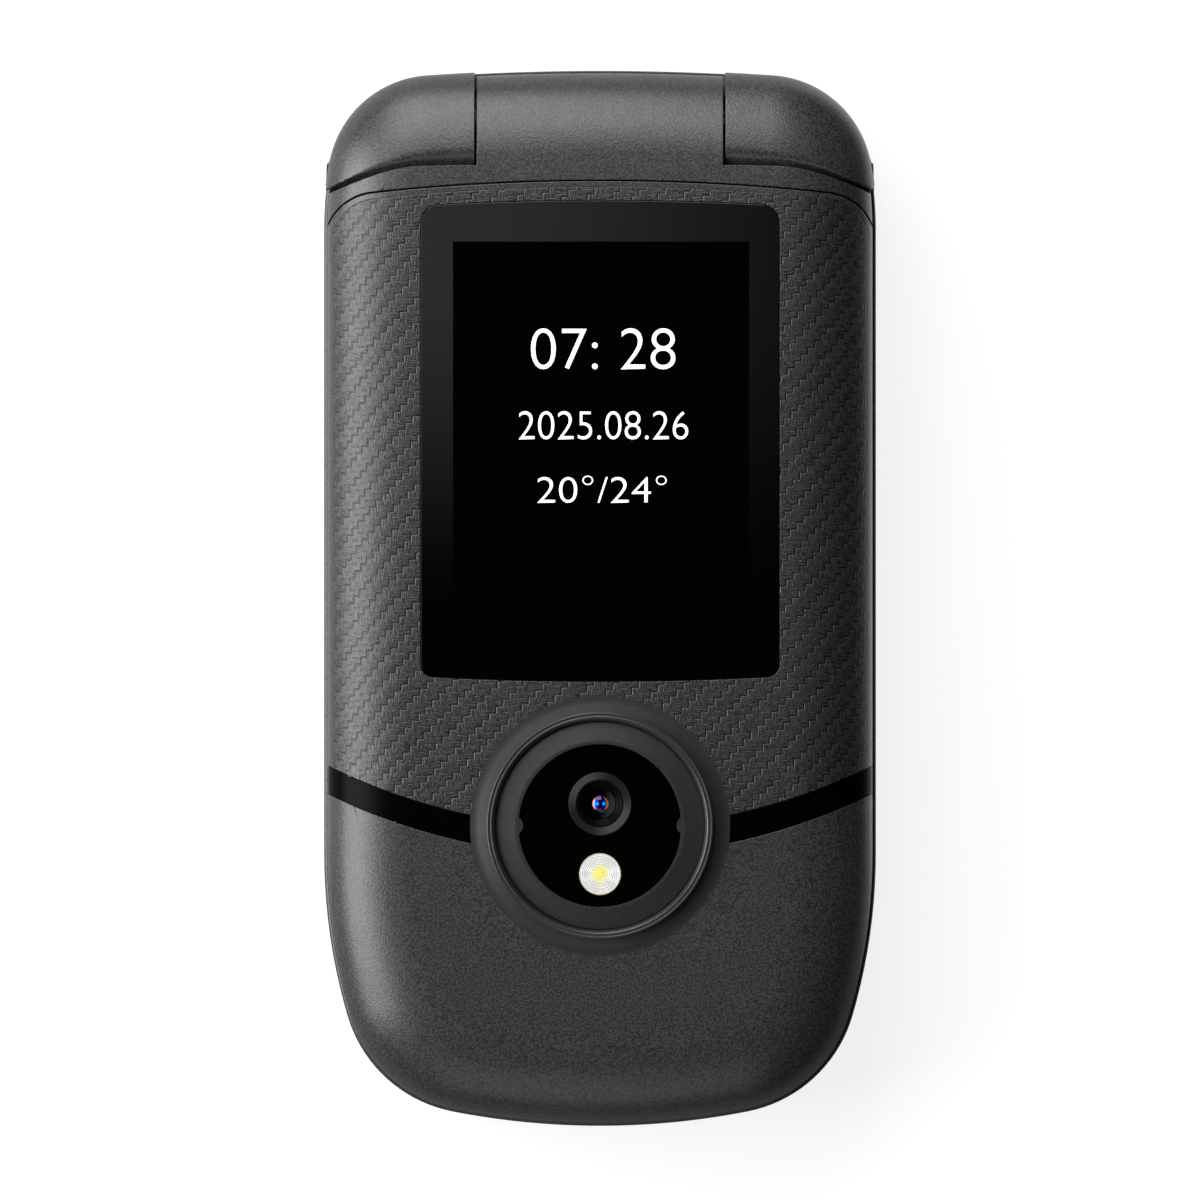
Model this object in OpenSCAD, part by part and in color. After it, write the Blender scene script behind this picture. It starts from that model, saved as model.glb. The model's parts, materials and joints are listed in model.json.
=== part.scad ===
// Flip phone, lying closed on its battery cover. X is the width, +Y points to the hinge, +Z is up.

/* [Overall] */
// Width of the closed phone across the base
body_w = 55; // [52:0.5:60]
// Length from the chin to the back of the hinge
body_l = 105.2; // [98:0.4:114]
// Height of the base from the battery cover to its rim
base_h = 10.2; // [10.2:0.1:11]
// Gap between the closed halves
fold_gap = 0.3; // [0.25:0.05:0.5]
// How much narrower the lid is than the base on each side
lid_step = 0.4; // [0.2:0.1:0.8]

/* [Outline] */
// Radius of the arch of the chin
chin_arch_r = 76.4; // [70:0.4:85]
// Radius of the chin's corners
chin_corner_r = 13.6; // [12:0.2:15]
// Radius of the long sides as they close towards the chin
chin_side_r = 57.6; // [52:0.4:66]
// Distance from the chin to where the long sides begin to close towards it
chin_side_l = 27.2; // [25:0.4:30]
// Radius of the arch of the hinge end
hinge_arch_r = 252; // [220:2:300]
// Radius of the hinge end's corners
hinge_corner_r = 10.6; // [10:0.2:11.6]
// Radius of the long sides as they close towards the hinge
hinge_side_r = 42.5; // [38:0.5:50]
// Distance from the hinge end to where the long sides begin to close towards it
hinge_side_l = 16.1; // [15:0.1:17.5]

/* [Lid] */
// Height of the lid's upright side
lid_side = 4; // [3.8:0.1:4.4]
// Width of the rounding from the side to the top
round_w = 9.3; // [8.8:0.1:9.6]
// Height of the rounding from the side to the top
round_h = 5.2; // [5:0.1:5.6]
// Rise of the top towards its middle
crown = 0.35; // [0.25:0.05:0.45]
// Wall of the front cover
cover_t = 1.2; // [1:0.1:1.3]
// Height of the inner housing's side below the front cover
tray_h = 1.9; // [1.9:0.1:2.2]
// Distance from the hinge end to the edge of the front cover
cover_back = 11.2; // [11:0.1:11.6]
// Width of the line between the front cover and the smooth band
part_line = 0.15; // [0.1:0.05:0.25]

/* [Outer window] */
// Width of the outer window
window_w = 35.6; // [34:0.2:36]
// Distance from the edge of the front cover to the outer window
window_back = 1.94; // [1.8:0.02:2.6]
// Distance from the outer window to the camera ring
window_to_camera = 1.63; // [0.8:0.01:3]
// Radius of the arch at both ends of the window
window_arch_r = 320; // [280:10:400]
// Thickness of the outer window
glass_t = 1; // [0.8:0.05:1.1]
// Ledge that the window is glued to
window_ledge = 1.4; // [1:0.1:1.8]
// Thickness of the outer display
outer_display_t = 1.6; // [1.2:0.1:1.8]

/* [Camera] */
// Distance from the chin to the centre of the camera ring
camera_in = 30; // [29.2:0.1:30.6]
// Outer radius of the ring's skirt
skirt_r = 12.7; // [12.4:0.05:13]
// Radius of the ring's crest
crest_r = 11.35; // [11.25:0.05:11.5]
// Inner radius of the ring's rim
rim_r = 10.75; // [10.7:0.05:10.9]
// Height of the ring's crest over the top of the lid's rounding
crest_h = 1.2; // [1:0.05:1.4]
// Width of the dark groove inside the rim
groove_w = 0.3; // [0.2:0.05:0.4]
// Radius of the camera window
camera_glass_r = 8.12; // [7.9:0.02:8.2]
// Half width of the camera window at its flats
camera_flat = 7.75; // [7.5:0.05:7.8]
// Distance from the ring's centre to the lens, towards the hinge
lens_off = 2.17; // [2:0.05:2.4]
// Outer radius of the lens ring
lens_r = 3.12; // [3:0.02:3.2]
// Inner radius of the lens ring
lens_in_r = 2.44; // [2.3:0.02:2.5]
// Distance from the ring's centre to the flash, towards the chin
flash_off = 4.82; // [4.6:0.05:4.9]
// Radius of the flash lens
flash_r = 2.07; // [1.9:0.01:2.1]

/* [Stripe] */
// Radius of the curved gloss stripe
stripe_r = 62; // [58:0.5:66]
// How far the lowest point of the stripe's upper edge lies below the ring's centre
stripe_off = 0.3; // [0:0.1:1]
// Width of the stripe
stripe_w = 2.8; // [2.4:0.1:3.2]
// Depth of the stripe's groove
stripe_t = 0.35; // [0.3:0.05:0.5]

/* [Hinge] */
// Radius of the centre barrel
barrel_r = 5.6; // [5.5:0.05:5.65]
// Half length of the centre barrel
barrel_half = 12.35; // [11.5:0.05:13]
// Side gap between the barrel and each knuckle
barrel_gap = 0.2; // [0.15:0.05:0.3]
// Running gap round the barrel and in front of the knuckles
swing_gap = 0.35; // [0.3:0.05:0.4]
// Radius of the lid's hollow end about the hinge axis
swing_r = 6.45; // [6.4:0.05:6.6]
// How much that radius grows towards the sides
swing_grow = 0.3; // [0.2:0.05:0.4]
// Radius of the hinge cartridge
cartridge_r = 3.6; // [3.4:0.1:3.8]
// Length of the hinge cartridge
cartridge_l = 16; // [14:0.5:17]
// Radius of the hinge pin
pin_r = 1.5; // [1.3:0.05:1.6]
// Outer radius of the hinge bush
bush_r = 2.6; // [2.4:0.05:2.8]
// Bore radius of the hinge bush
bush_bore_r = 1.8; // [1.7:0.05:1.9]
// How deep the pin and the bush reach into the knuckles
seat_l = 8; // [7:0.5:8.5]
// Radial clearance of the running fits
running_fit = 0.05; // [0.03:0.01:0.08]

/* [Base] */
// Width of the rounding under the base
foot_w = 6; // [5.4:0.2:6.4]
// Height of the rounding under the base
foot_h = 4; // [3.8:0.1:4.4]
// Height at which the base's housings meet
split_z = 6; // [5.9:0.1:6.1]
// Wall of the base's housings
wall = 2; // [1.8:0.1:2.1]
// How far the keypad's floor lies below the rim
deck_drop = 0.5; // [0.4:0.05:0.6]
// Thickness of the keypad's floor
deck_t = 1; // [0.9:0.05:1.1]
// Wall of the battery cover
back_t = 1; // [0.9:0.05:1.1]
// Height of the battery cover's sides
back_h = 3.4; // [3:0.1:3.6]
// Line between the battery cover and the housing
back_line = 0.12; // [0.1:0.01:0.2]
// Distance from the hinge axis to the battery cover
back_to_hinge = 16; // [15.6:0.1:17]
// Distance from the chin to the battery cover
back_to_chin = 12.6; // [12:0.1:14]
// Width of each hook of the battery cover
hook_w = 3; // [2:0.1:3.4]
// Depth of the nail notch beside the battery cover
notch_depth = 0.8; // [0.4:0.1:1]

/* [Inside] */
// Width of the battery
battery_w = 34; // [30:0.5:36]
// Wall between the battery and the bays before and behind it
battery_wall = 2; // [1.6:0.1:3]
// Clearance round the battery
battery_gap = 0.2; // [0.15:0.05:0.4]
// Thickness of the main board
board_t = 0.8; // [0.7:0.05:0.9]
// Thickness of the keypad mat
mat_t = 0.8; // [0.7:0.05:0.8]
// Distance from the body's side to the inner window
inner_side = 5.5; // [5.2:0.1:7]
// Distance from the chin to the inner window
inner_chin = 12.6; // [12.4:0.1:16]
// Distance from the hinge axis to the inner window
inner_hinge = 13; // [12.6:0.1:16]
// Thickness of the inner window
inner_window_t = 0.9; // [0.8:0.05:1]
// Depth of the inner window below the lid's rim
inner_drop = 0.3; // [0.2:0.05:0.4]
// Thickness of the inner display
inner_display_t = 1.8; // [1.6:0.1:2]

/* [Keys] */
// Width of the rim beside the keypad's floor
deck_side = 4.2; // [4:0.1:5]
// Distance from the chin to the keypad's floor
deck_chin = 14.6; // [14:0.1:16]
// Distance from the hinge axis to the keypad's floor
deck_hinge = 10.5; // [10.2:0.1:12]
// Distance from the rim to the keys beside it
key_side = 1.4; // [1.2:0.1:2]
// Distance from the end of the floor to the lowest row of keys
key_end = 3; // [2:0.1:4]
// Gap between the columns of number keys
key_col_gap = 1.2; // [1.2:0.1:2]
// Gap between the rows of keys
key_row_gap = 2.2; // [1.6:0.1:2.6]
// Length of the soft keys, and of the call and end keys
soft_l = 7.6; // [6.4:0.1:7.8]
// Gap between those keys and the direction keys
soft_gap = 2.8; // [1.4:0.1:4]
// Length of the clear key
clear_l = 4.6; // [4:0.1:6]
// Gap between the clear key and the direction keys
clear_gap = 1.7; // [1.2:0.1:2.4]
// Gap round each key in its hole
key_gap = 0.15; // [0.1:0.05:0.2]
// Width of the flange that holds each key under the floor
key_lip = 0.45; // [0.4:0.01:0.45]
// Thickness of that flange
key_lip_t = 0.5; // [0.45:0.05:0.5]
// Height of the keys over the keypad's floor
key_h = 0.45; // [0.3:0.05:0.5]
// Distance from the hinge axis to the middle of the direction keys
nav_back = 23; // [22.6:0.1:24]
// Outer radius of the direction keys
nav_r = 9.6; // [9.2:0.1:9.8]
// Inner radius of the direction keys
nav_in_r = 5.5; // [5.5:0.1:5.8]
// Radius of the OK key
ok_r = 4.3; // [4:0.05:4.3]
// Width of the spokes between the direction keys
spoke_w = 1.2; // [1.1:0.1:1.6]
// Length of the volume rocker
rocker_l = 13; // [11:0.5:15]
// Distance from the hinge axis to the middle of the volume rocker
rocker_back = 27; // [25:0.5:32]

/* [Sockets] */
// Bore radius of the headphone jack
jack_bore_r = 1.8; // [1.75:0.01:1.85]
// Length of the headphone jack
jack_l = 12.5; // [12:0.1:12.7]
// Distance from the body's side to the headphone jack's bore
jack_side = 14.5; // [14.2:0.1:15]
// How far the headphone jack lies behind the chin
jack_in = 3.4; // [3.2:0.1:4]
// Width of the USB port's shell
usb_w = 9; // [8.8:0.1:9.4]
// Height of the USB port's shell
usb_h = 3.2; // [3:0.05:3.3]

/* [Hidden] */
$fn = 72;
eps = 0.01;
big = 4 * body_l;         // reach of cuts that run out of the body

seat_gap = 0.05;          // between glued or pressed neighbours
half_w = body_w / 2;
half_l = body_l / 2;
lid_z = base_h + fold_gap;
hinge_z = lid_z + lid_side;
hinge_y = half_l - barrel_r;
chin_y = -half_l;
dome_end = 84;            // angle at which the rounding passes into the crown
dome_z = hinge_z + round_h * sin(dome_end);
top_z = dome_z + crown;
tray_z = lid_z + tray_h;
trough_r = barrel_r + swing_gap;
knuckle_r = swing_r - swing_gap;

// ---- Outline: tangent arcs, each end as [reach, arch radius, corner radius, side radius, side start] ----

chin_end = [half_l, chin_arch_r, chin_corner_r, chin_side_r, half_l - chin_side_l];
hinge_end = [half_l, hinge_arch_r, hinge_corner_r, hinge_side_r, half_l - hinge_side_l];
cover_end = half_l - cover_back;
cover_corner_r = 5.3;
cover_side_r = 120;
cover_side_l = 10.3;
cover_arch_r = 216;
cover_line_end = [cover_end, cover_arch_r, cover_corner_r, cover_side_r, cover_end - cover_side_l];

function arc(c, r, a, b, n) = [for (i = [0:n]) c + r * [cos(a + (b - a) * i / n), sin(a + (b - a) * i / n)]];
function tail(list) = [for (i = [1:len(list) - 1]) list[i]];
function flip_y(list) = [for (i = [len(list) - 1:-1:0]) [list[i][0], -list[i][1]]];
function flip_x(list) = [for (i = [len(list) - 2:-1:1]) [-list[i][0], list[i][1]]];

// Where two circles cross, on the side of larger x
function crossing(c1, r1, c2, r2) =
    let (v = c2 - c1, d = norm(v), along = (d * d + r1 * r1 - r2 * r2) / (2 * d))
    let (off = sqrt(r1 * r1 - along * along), u = v / d, m = c1 + along * u)
    let (p = m + off * [u[1], -u[0]], q = m - off * [u[1], -u[0]])
    p[0] > q[0] ? p : q;

// Right half of one end, from the side to the middle of its arch, for an end that points to +Y
function end_arcs(e, w, inset) =
    let (arch_c = [0, e[0] - e[1]], side_c = [w - e[3], e[4]])
    let (corner_c = crossing(arch_c, e[1] - e[2], side_c, e[3] - e[2]))
    let (to_side = corner_c - side_c, to_arch = corner_c - arch_c)
    let (a_side = atan2(to_side[1], to_side[0]), a_arch = atan2(to_arch[1], to_arch[0]))
    concat(
        arc(side_c, e[3] - inset, 0, a_side, 3),
        tail(arc(corner_c, e[2] - inset, a_side, a_arch, 9)),
        tail(arc(arch_c, e[1] - inset, a_arch, 90, 3)));

// A point that lies inset from the outline, in the direction a of an end's corner
function corner_spot(e, inset, a) =
    let (c = crossing([0, e[0] - e[1]], e[1] - e[2], [half_w - e[3], e[4]], e[3] - e[2]))
    c + (e[2] - inset) * [cos(a), sin(a)];

function outline(inset = 0, w = half_w, far = hinge_end) =
    let (right = concat(flip_y(end_arcs(chin_end, w, inset)), end_arcs(far, w, inset)))
    concat(right, flip_x(right));

// ---- Lofts through rings of the outline, each level given as [height, inset, scale] ----

module loft(levels) {
    n = len(outline());
    rings = [for (l = levels) [for (p = outline(l[1])) [p[0] * l[2], p[1] * l[2], l[0]]]];
    last = len(levels) - 1;
    flat = [for (i = [0:last - 1]) levels[i][2] == levels[i + 1][2]];
    quads = [for (i = [0:last - 1], j = [0:n - 1]) if (flat[i])
        [i * n + j, (i + 1) * n + j, (i + 1) * n + (j + 1) % n, i * n + (j + 1) % n]];
    halves = [for (i = [0:last - 1], j = [0:n - 1], k = [0, 1]) if (!flat[i])
        k == 0 ? [i * n + j, (i + 1) * n + j, (i + 1) * n + (j + 1) % n]
               : [i * n + j, (i + 1) * n + (j + 1) % n, i * n + (j + 1) % n]];
    polyhedron(
        points = [for (r = rings) each r],
        faces = concat(
            [[for (j = [0:n - 1]) j]],
            quads,
            halves,
            [[for (j = [n - 1:-1:0]) last * n + j]]));
}

function dome_inset(t, inset) = inset + (round_w - inset) * (1 - cos(t));
function crown_rings(inset, down) = [for (s = [0.75, 0.5, 0.25])
    [dome_z - down + crown * (1 - s * s), dome_inset(dome_end, inset), s]];

// The domed upper form: upright side and elliptical rounding, lowered by down, with or without its crown
module dome(bottom, inset = 0, down = 0, step = 12, crowned = false) {
    loft(concat(
        [[bottom, inset, 1]],
        [for (t = [0:step:dome_end]) [hinge_z + (round_h - down) * sin(t), dome_inset(t, inset), 1]],
        crowned ? crown_rings(inset, down) : []));
}

// The lower form of the base up to where its housings meet, drawn in by shrink all over
module foot_form(shrink = 0, step = 18) {
    h = foot_h - shrink;
    w = foot_w - shrink;
    loft(concat(
        [for (t = [90:-step:0]) [foot_h - h * sin(t), shrink + w * (1 - cos(t)), 1]],
        [[split_z, shrink, 1]]));
}

// ---- Small helpers ----

module plate(inset, z0, z1) {
    translate([0, 0, z0]) linear_extrude(z1 - z0) polygon(outline(inset));
}

module rounded(w, l, r) {
    square([w - 2 * r, l], center = true);
    square([w, l - 2 * r], center = true);
    for (x = [-1, 1], y = [-1, 1]) translate([x * (w / 2 - r), y * (l / 2 - r)]) circle(r);
}

module slab(w, l, r, z0, z1, at = [0, 0]) {
    translate([at[0], at[1], z0]) linear_extrude(z1 - z0) rounded(w, l, r);
}

module post(r, z0, z1, at = [0, 0]) {
    translate([at[0], at[1], z0]) cylinder(r = r, h = z1 - z0);
}

module rod(r, x0, x1) {
    translate([x0, hinge_y, hinge_z]) rotate([0, 90, 0]) cylinder(r = r, h = x1 - x0);
}

// Everything on the chin's side of y
module below_y(y) { translate([-big, y - 2 * big, -big]) cube(2 * big); }

// Solid of revolution about the hinge axis, with a radius that changes with the square of x
module about_hinge(r, grow, half) {
    steps = 5;
    side = [for (i = [-steps:steps]) [r + grow * pow(i / steps, 2), half * i / steps]];
    translate([0, hinge_y, hinge_z]) rotate([0, 90, 0])
        rotate_extrude($fn = 96) polygon(concat([[0, -half]], side, [[0, half]]));
}

module beside_barrel(gap) {
    for (s = [-1, 1]) translate([s > 0 ? barrel_half + gap : -big, -big, -big])
        cube([big - barrel_half - gap, 2 * big, 2 * big]);
}

module between_knuckles(gap) {
    translate([-barrel_half + gap, -big, -big]) cube([2 * (barrel_half - gap), 2 * big, 2 * big]);
}

// How far the barrel's radius has dropped at its ends, following the arch of the hinge end
barrel_drop = barrel_half * barrel_half / (2 * hinge_arch_r);

// ---- Lid ----

screw_r = 0.7;
screw_head_r = 1.3;
lid_boss_r = 1.7;
lid_boss_inset = 3.9;
lid_boss_back = 10;
chin_boss = corner_spot(chin_end, lid_boss_inset, 45);
lid_screw_spots = [for (s = [-1, 1]) each
    [[s * (half_w - lid_boss_inset), hinge_y - lid_boss_back], [s * chin_boss[0], -chin_boss[1]]]];
lid_boss_top = hinge_z + 2.4;
bumper_r = 1.6;
bumper_seat = 0.5;

module lid_form() {
    intersection() {
        dome(hinge_z - barrel_r - 1, lid_step);
        union() {
            difference() {
                translate([-big, hinge_y - big, lid_z]) cube([2 * big, big, big]);
                intersection() {
                    about_hinge(swing_r, swing_grow, half_w);
                    beside_barrel(-barrel_gap / 2);
                }
            }
            intersection() {
                about_hinge(barrel_r, -barrel_drop, barrel_half);
                between_knuckles(barrel_gap / 2);
            }
        }
    }
}

// Plan of the front cover, which stops short of the smooth band
module cover_plan(z0, z1, grow = 0) {
    translate([0, 0, z0]) linear_extrude(z1 - z0)
        polygon(outline(-grow, half_w, cover_line_end));
}

camera_y = chin_y + camera_in;
window_top = cover_end - window_back;
window_bottom = camera_y + skirt_r + window_to_camera;
window_y = (window_top + window_bottom) / 2;
window_corner_r = 1.5;

module window_shape(inset = 0) {
    e = inset + window_corner_r;
    offset(r = window_corner_r) intersection() {
        translate([0, window_y]) square([window_w - 2 * e, 2 * window_w], center = true);
        translate([0, window_top - window_arch_r]) circle(window_arch_r - e, $fn = 720);
        translate([0, window_bottom + window_arch_r]) circle(window_arch_r - e, $fn = 720);
    }
}

stripe_y = camera_y - stripe_off;

module stripe_band(gap = 0) {
    translate([0, 0, lid_z]) linear_extrude(top_z - lid_z + 1) difference() {
        translate([0, stripe_y - stripe_w + stripe_r + gap]) circle(stripe_r, $fn = 240);
        translate([0, stripe_y + stripe_r - gap]) circle(stripe_r, $fn = 240);
        translate([-big, stripe_y + stripe_r / 2]) square(2 * big);
        translate([0, camera_y]) circle(skirt_r - stripe_tuck);
    }
}

stripe_tuck = 0.4;        // how far the stripe runs under the camera ring's skirt
housing_gap = 0.1;        // between the front cover's wall and what lies inside it
skirt_z = dome_z - 0.3;
neck_r = skirt_r - 0.7;
neck_z = dome_z - cover_t - housing_gap;
pocket_h = 3;             // depth from which cuts through the top start

module lid_front_cover() {
    color("DimGray") difference() {
        union() {
            difference() {
                intersection() {
                    dome(tray_z, lid_step, 0, 12, true);
                    cover_plan(tray_z, top_z + 1);
                }
                dome(tray_z - 1, lid_step + cover_t, cover_t, 28);
            }
            for (p = lid_screw_spots) post(lid_boss_r, tray_z, lid_boss_top, p);
        }
        about_hinge(swing_r + root_t + housing_gap, swing_grow, half_w);
        translate([0, 0, dome_z - glass_t]) linear_extrude(pocket_h) window_shape(-seat_gap);
        translate([0, 0, dome_z - pocket_h]) linear_extrude(2 * pocket_h) window_shape(window_ledge);
        post(skirt_r + seat_gap, skirt_z, top_z + 1, [0, camera_y]);
        post(neck_r + seat_gap, dome_z - pocket_h, top_z + 1, [0, camera_y]);
        difference() {
            stripe_band();
            stripe_floor();
        }
        for (p = lid_screw_spots) post(screw_r + seat_gap, tray_z - 1, lid_boss_top - 0.6, p);
    }
}

module stripe_floor() { dome(lid_z - 1, lid_step + stripe_t, stripe_t, 28); }

module stripe_inlay() {
    color("Black") difference() {
        intersection() {
            dome(tray_z, lid_step, 0, 12, true);
            stripe_band(seat_gap / 2);
        }
        stripe_floor();
        post(skirt_r + seat_gap, lid_z, top_z + 1, [0, camera_y]);
    }
}

root_t = 0.8;
rib_t = 0.8;
rib_h = 1.4;
rib_back = 13.5;
inner_window_z = lid_z + inner_drop;
inner_display_z = inner_window_z + inner_window_t + seat_gap;
inner_window_w = body_w - 2 * inner_side;
inner_window_y0 = chin_y + inner_chin;
inner_window_y1 = hinge_y - inner_hinge;
inner_window_l = inner_window_y1 - inner_window_y0;
inner_middle_y = (inner_window_y0 + inner_window_y1) / 2;
inner_window_r = 2.5;
inner_border_x = 0.7;
inner_border_y = 4;
inner_display_w = inner_window_w - 2 * inner_border_x;
inner_display_l = inner_window_l - 2 * inner_border_y;
inner_display_r = 0.8;
display_gap = 0.15;
ear_in = 9;
ear_y = chin_y + ear_in;
ear_w = 12;
ear_l = 4.6;
ear_t = 2.6;
ear_r = 0.5;
ear_slot_l = 1.2;
ear_z = tray_z - 0.9;
lid_bore_r = cartridge_r + seat_gap;
cartridge_x = barrel_half - barrel_gap / 2 - cartridge_l;
bush_x = -barrel_half + 6;

module lid_inner_housing() {
    color("DarkSlateGray") difference() {
        union() {
            difference() {
                lid_form();
                difference() {
                    cover_plan(tray_z, top_z + 1, part_line);
                    // root of the hollow end, which is tucked under the front cover
                    intersection() {
                        about_hinge(swing_r + root_t, swing_grow, half_w);
                        plate(lid_step + cover_t + housing_gap, tray_z - 1, dome_z - cover_t - housing_gap);
                    }
                }
            }
            // rib inside the front cover's wall
            difference() {
                intersection() {
                    plate(lid_step + cover_t + housing_gap, tray_z - 1, tray_z + rib_h);
                    below_y(hinge_y - rib_back);
                }
                plate(lid_step + cover_t + housing_gap + rib_t, tray_z - 2, tray_z + rib_h + 1);
                for (p = lid_screw_spots) post(lid_boss_r + 2 * housing_gap, tray_z, big, p);
            }
        }
        slab(inner_window_w + 2 * seat_gap, inner_window_l + 2 * seat_gap, inner_window_r, lid_z - 1,
            inner_window_z + inner_window_t + seat_gap / 2, [0, inner_middle_y]);
        slab(inner_display_w + 2 * display_gap, inner_display_l + 2 * display_gap, inner_display_r,
            lid_z, big, [0, inner_middle_y]);
        slab(ear_w + 2 * seat_gap, ear_l + 2 * seat_gap, ear_r, ear_z, big, [0, ear_y]);
        slab(ear_w - ear_slot_l, ear_slot_l, ear_slot_l / 2 - eps, lid_z - 1, ear_z + 1, [0, ear_y]);
        for (p = lid_screw_spots) {
            post(bumper_r + seat_gap, lid_z - 1, lid_z + bumper_seat, p);
            post(screw_head_r + seat_gap, lid_z - 1, lid_z + bumper_seat + 0.6, p);
            post(screw_r + seat_gap, lid_z - 1, big, p);
        }
        rod(lid_bore_r, cartridge_x, half_w);
        rod(bush_r + running_fit, -half_w, bush_x + 0.3);
        rod(bush_bore_r, -half_w, half_w);
    }
}

module outer_window() {
    edge = dome_inset(dome_end, lid_step);
    sunk = 0.03;
    color("Black") intersection() {
        loft(concat([[hinge_z, edge, 1], [dome_z - sunk, edge, 1]], crown_rings(lid_step, sunk)));
        translate([0, 0, dome_z - glass_t]) linear_extrude(pocket_h) window_shape();
    }
}

outer_display_gap = 0.3;  // beside the outer display, and a wider one before and behind it
outer_display_end = 1;
outer_display_top = dome_z - glass_t - seat_gap;

module outer_display() {
    display_w = window_w - 2 * (window_ledge + outer_display_gap);
    display_l = window_top - window_bottom - 2 * (window_ledge + outer_display_end);
    color("DarkSlateBlue")
        slab(display_w, display_l, outer_display_gap, outer_display_top - outer_display_t, outer_display_top,
            [0, window_y]);
}

groove_r = rim_r - groove_w;
trim_z = dome_z - 0.05;
trim_top = dome_z + crest_h - 0.5;
camera_glass_t = 0.5;
glass_gap = 0.03;         // round the camera window, and round what stands in its holes
camera_glass_top = trim_top - 0.2;
lens_y = camera_y + lens_off;
flash_y = camera_y - flash_off;
crest_z = dome_z + crest_h;

module camera_bezel() {
    edge_z = dome_z + 0.28;
    rise = crest_z - 0.1 - edge_z;
    run = skirt_r - crest_r - 0.25;
    flare = [for (t = [0:10:90]) [skirt_r - run * sin(t), edge_z + rise * (1 - cos(t))]];
    color("DimGray") translate([0, camera_y, 0]) rotate_extrude($fn = 120) polygon(concat(
        [[camera_glass_r + 0.5, neck_z], [neck_r, neck_z], [neck_r, skirt_z], [skirt_r, skirt_z]],
        flare,
        [[crest_r + 0.12, crest_z - 0.02], [crest_r, crest_z], [crest_r - 0.2, crest_z - 0.02],
         [rim_r + 0.12, crest_z - 0.14], [rim_r, crest_z - 0.3], [rim_r, trim_z],
         [camera_glass_r + 0.5, trim_z]]));
}

// Plan of the camera window: a disc with two flats, each with a rounded notch in its middle
module camera_glass_shape(grow = 0) {
    r = 0.8;
    x = camera_flat + r - 0.25 + grow;
    difference() {
        intersection() {
            circle(camera_glass_r + grow, $fn = 120);
            square([2 * (camera_flat + grow), 4 * camera_glass_r], center = true);
        }
        for (s = [-1, 1]) translate([s * x, 0]) circle(r, $fn = 36);
    }
}

module camera_trim() {
    bevel = 0.2;
    hole_r = camera_glass_r + glass_gap;
    color("Gray") translate([0, camera_y, 0]) difference() {
        rotate_extrude($fn = 120) polygon([
            [0, trim_z], [groove_r, trim_z], [groove_r, trim_top - 0.08], [groove_r - 0.08, trim_top],
            [hole_r + bevel, trim_top], [hole_r, trim_top - bevel], [0, trim_top - bevel]]);
        translate([0, 0, trim_z - 1]) linear_extrude(big) camera_glass_shape(glass_gap);
    }
}

module camera_window() {
    color("Black") difference() {
        translate([0, camera_y, camera_glass_top - camera_glass_t])
            linear_extrude(camera_glass_t) camera_glass_shape();
        post(lens_r + glass_gap, 0, big, [0, lens_y]);
        post(flash_r + glass_gap, 0, big, [0, flash_y]);
    }
}

lens_depth = 0.9;         // from the camera window's face to the floor of the lens ring
dish_r = lens_in_r - 0.7;

module lens_ring() {
    low = camera_glass_top - lens_depth;
    color("Silver") translate([0, lens_y, 0]) rotate_extrude($fn = 96) polygon([
        [dish_r, low], [lens_r, low], [lens_r, camera_glass_top + 0.06],
        [lens_r - 0.1, camera_glass_top + 0.12], [lens_in_r + 0.1, camera_glass_top + 0.12],
        [lens_in_r, camera_glass_top], [dish_r, low + 0.25]]);
}

board_z = inner_display_z + inner_display_t + 0.1;
camera_body_w = 9;
camera_body_h = 2.4;

module camera_module() {
    base = board_z + board_t;
    low = camera_glass_top - lens_depth - seat_gap;
    color("DarkGray") {
        slab(camera_body_w, camera_body_w, camera_body_h / 3, base, base + camera_body_h, [0, lens_y]);
        translate([0, lens_y, 0]) rotate_extrude($fn = 72) polygon([
            [0, base + camera_body_h - eps], [lens_r, base + camera_body_h - eps], [lens_r, low], [dish_r, low],
            [dish_r - 0.7, low - 0.45], [dish_r - 1.1, low - 0.37], [0, low - 0.35]]);
    }
}

module flash_lens() {
    top = camera_glass_top + 0.02;
    ring_step = 0.4;
    color("LightYellow") translate([0, flash_y, 0]) rotate_extrude($fn = 72) polygon(concat(
        [[0, camera_glass_top - flash_t], [flash_r, camera_glass_top - flash_t], [flash_r, top]],
        [for (r = [flash_r - 0.25:-ring_step:ring_step]) each
            [[r, top], [r - 0.02, top - 0.12], [r - 0.15, top - 0.02]]],
        [[0, top]]));
}

flash_t = 0.6;
led_w = 2.8;
led_t = 0.7;

module flash_led() {
    led_top = camera_glass_top - flash_t - seat_gap;
    color("Gold") slab(led_w, led_w, 0.2, led_top - led_t, led_top, [0, flash_y]);
}

lid_board_side = 2.3;

module lid_board() {
    color("DarkGreen") slab(inner_display_w - 2 * lid_board_side, inner_display_l, board_corner_r,
        board_z, board_z + board_t, [0, inner_middle_y]);
}

module earpiece() {
    color("Silver") slab(ear_w, ear_l, ear_r, ear_z, ear_z + ear_t, [0, ear_y]);
}

module inner_window() {
    color("Black") slab(inner_window_w, inner_window_l, inner_window_r, inner_window_z,
        inner_window_z + inner_window_t, [0, inner_middle_y]);
}

module inner_display() {
    color("DarkSlateBlue") slab(inner_display_w, inner_display_l, inner_display_r, inner_display_z,
        inner_display_z + inner_display_t, [0, inner_middle_y]);
}

module lid_bumpers() {
    color("DarkGray") for (p = lid_screw_spots) post(bumper_r, lid_z - fold_gap, lid_z + bumper_seat - 0.02, p);
}

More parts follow.
